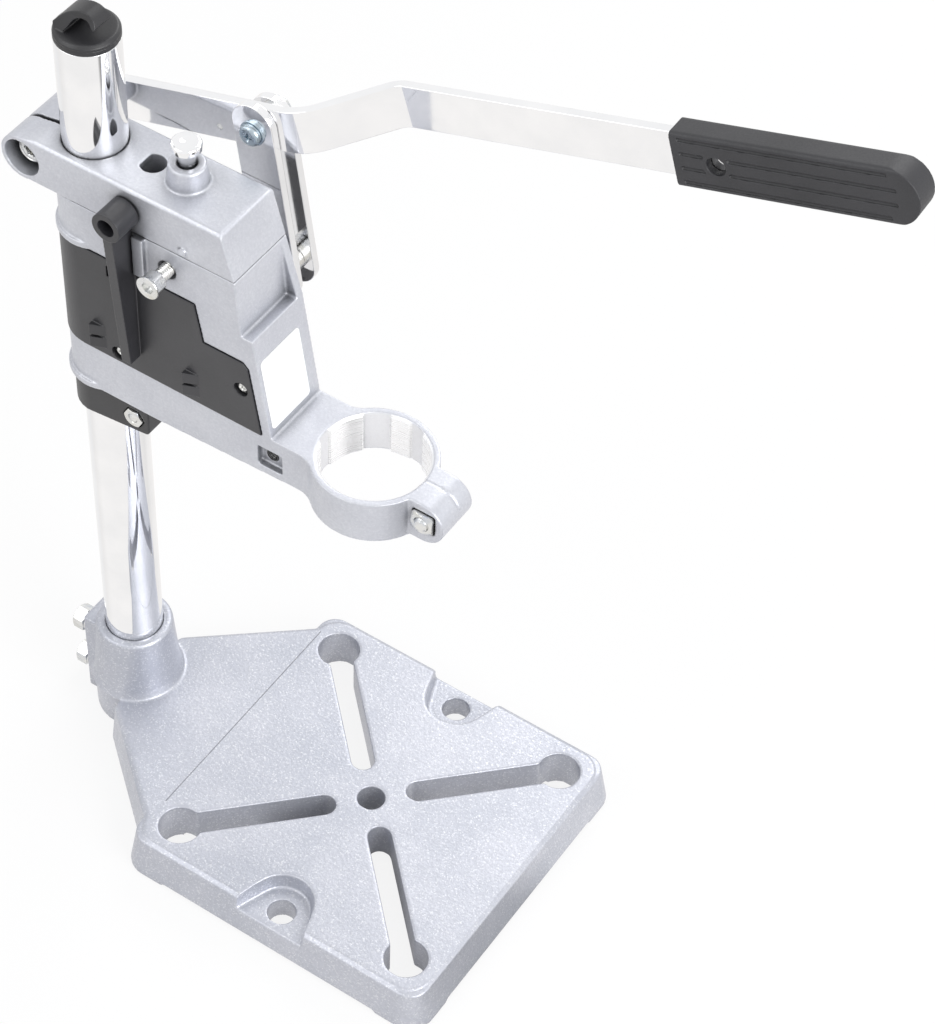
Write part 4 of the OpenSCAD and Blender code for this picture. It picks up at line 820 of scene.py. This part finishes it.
for name, shown in cadNodes.items():
    if not shown.hide_render:
        shown.data.materials.clear()
        shown.data.materials.append(finishOf[slotOf[name]])
print("solids are dressed")


# floor, light and camera, in metres. sectors: a painted reflection, how bright polished metal sees the floor
# round the column, each by its share of a turn; only glossy rays see them. The dark one paints the column's
# dark streak
studio = {
    "floorHalf": 30.0, "floorDrop": 0.0004, "floorColour": (0.86, 0.86, 0.87, 1), "floorLift": 0.86,
    "tableFade": (2.94, 3.0), "endLevel": 0.92, "sectorTint": (1, 0.985, 0.97), "columnX": -0.126,
    "sectors": ((0.05, 0.92), (0.12, 1.0), (0.44, 1.0), (0.455, 0.45), (0.475, 0.2), (0.505, 0.28),
                (0.522, 0.95), (0.56, 1.0), (0.6, 0.9), (0.64, 0.86), (0.68, 0.94), (0.9, 0.96)),
    "worldLight": 0.62, "white": (1, 1, 1, 1),
    "lamps": {
        "key": {"at": (-0.9, -1.1, 1.6), "target": (-0.05, 0, 0.15), "size": 1.2, "power": 8},
        "fill": {"at": (1.3, -0.3, 0.9), "target": (-0.05, 0, 0.15), "size": 1.0, "power": 16},
        "rim": {"at": (-0.2, 1.3, 1.2), "target": (-0.05, 0, 0.2), "size": 1.0, "power": 8},
    },
    "camera": {"at": (0.44962, -0.65290, 1.11492), "yaw": -0.5577, "pitch": -0.8523, "roll": 0.0435,
               "lens": 110.13, "sensor": 36},
}


def makeFloor():
    # a white table: the camera sees it brighter than the light on it, and its shadow stays.
    # Polished metal sees the painted reflection sectors, and plain white further out
    half = studio["floorHalf"]
    corners = [(-half, -half, 0), (half, -half, 0), (half, half, 0), (-half, half, 0)]
    mesh = bpy.data.meshes.new("floor")
    mesh.from_pydata(corners, [], [(0, 1, 2, 3)])
    floor = linked("floor", mesh)
    floor.location.z = -studio["floorDrop"]
    material = bpy.data.materials.new("floorPaint")
    material.use_nodes = True
    tree = material.node_tree
    tree.nodes.clear()
    out = tree.nodes.new("ShaderNodeOutputMaterial")
    path = node(tree, "ShaderNodeLightPath").outputs
    coords = node(tree, "ShaderNodeTexCoord").outputs["Object"]
    shift = (-studio["columnX"], 0, 0)
    fromColumn = node(tree, "ShaderNodeMapping", Vector=coords, Location=shift).outputs[0]
    # painted reflection: sectors round the column that only glossy rays see
    turn = node(tree, "ShaderNodeTexGradient", {"gradient_type": "RADIAL"}, Vector=fromColumn).outputs["Fac"]
    sectors = node(tree, "ShaderNodeValToRGB", Fac=turn)
    ramp = sectors.color_ramp
    ramp.elements[0].position, ramp.elements[1].position = 0.0, 1.0
    for place, level in studio["sectors"]:
        ramp.elements.new(place).color = (*[level * tint for tint in studio["sectorTint"]], 1)
    for stop in (ramp.elements[0], ramp.elements[-1]):
        stop.color = (*[studio["endLevel"]] * 3, 1)
    onTable = ranged(tree, lengthOf(tree, coords), *studio["tableFade"], 1, 0)
    paintedReflection = blended(tree, onTable, studio["white"], sectors.outputs[0])
    matte = node(tree, "ShaderNodeBsdfDiffuse", Color=studio["floorColour"]).outputs[0]
    bright = node(tree, "ShaderNodeEmission", Color=studio["white"], Strength=1.0).outputs[0]
    seen = node(tree, "ShaderNodeEmission", Color=paintedReflection, Strength=1.0).outputs[0]
    lifted = worked(tree, "MULTIPLY", path["Is Camera Ray"], studio["floorLift"])
    shader = matte
    for factor, other in ((lifted, bright), (path["Is Glossy Ray"], seen)):
        mix = node(tree, "ShaderNodeMixShader", Fac=factor)
        wire(tree, shader, mix.inputs[1])
        wire(tree, other, mix.inputs[2])
        shader = mix.outputs[0]
    wire(tree, shader, out.inputs[0])
    mesh.materials.append(material)


def makeWorld():
    # white to the eye and in reflections, plain soft light for the rest
    world = bpy.data.worlds.new("studio")
    bpy.context.scene.world = world
    world.use_nodes = True
    tree = world.node_tree
    tree.nodes.clear()
    out = tree.nodes.new("ShaderNodeOutputWorld")
    path = node(tree, "ShaderNodeLightPath").outputs
    seen = worked(tree, "MAXIMUM", path["Is Camera Ray"],
                  worked(tree, "MAXIMUM", path["Is Glossy Ray"], path["Is Transmission Ray"]))
    strength = ranged(tree, seen, 0, 1, studio["worldLight"], 1.0)
    sky = node(tree, "ShaderNodeBackground", Color=studio["white"], Strength=strength)
    wire(tree, sky.outputs[0], out.inputs[0])


def makeLamp(name, plan):
    data = bpy.data.lights.new(name, "AREA")
    data.shape = "SQUARE"
    data.size = plan["size"]
    data.energy = plan["power"]
    lamp = linked(name, data)
    lamp.location = plan["at"]
    lamp.rotation_mode = "QUATERNION"
    lamp.rotation_quaternion = (Vector(plan["target"]) - Vector(plan["at"])).to_track_quat("-Z", "Y")


def makeCamera():
    plan = studio["camera"]
    yaw, pitch, roll = plan["yaw"], plan["pitch"], plan["roll"]
    forward = Vector((math.sin(yaw) * math.cos(pitch), math.cos(yaw) * math.cos(pitch), math.sin(pitch)))
    right = Vector((math.cos(yaw), -math.sin(yaw), 0))
    up = right.cross(forward)
    turnedRight = math.cos(roll) * right + math.sin(roll) * up
    turnedUp = -math.sin(roll) * right + math.cos(roll) * up
    data = bpy.data.cameras.new("camera")
    data.lens = plan["lens"]
    data.sensor_width = plan["sensor"]
    camera = linked("camera", data)
    rows = [(turnedRight[k], turnedUp[k], -forward[k], plan["at"][k]) for k in range(3)]
    camera.matrix_world = Matrix((*rows, (0, 0, 0, 1)))
    bpy.context.scene.camera = camera


makeFloor()
makeWorld()
for name, plan in studio["lamps"].items():
    makeLamp(name, plan)
makeCamera()
bpy.context.scene.view_settings.view_transform = "Standard"
print("studio is set")

bpy.context.view_layer.update()
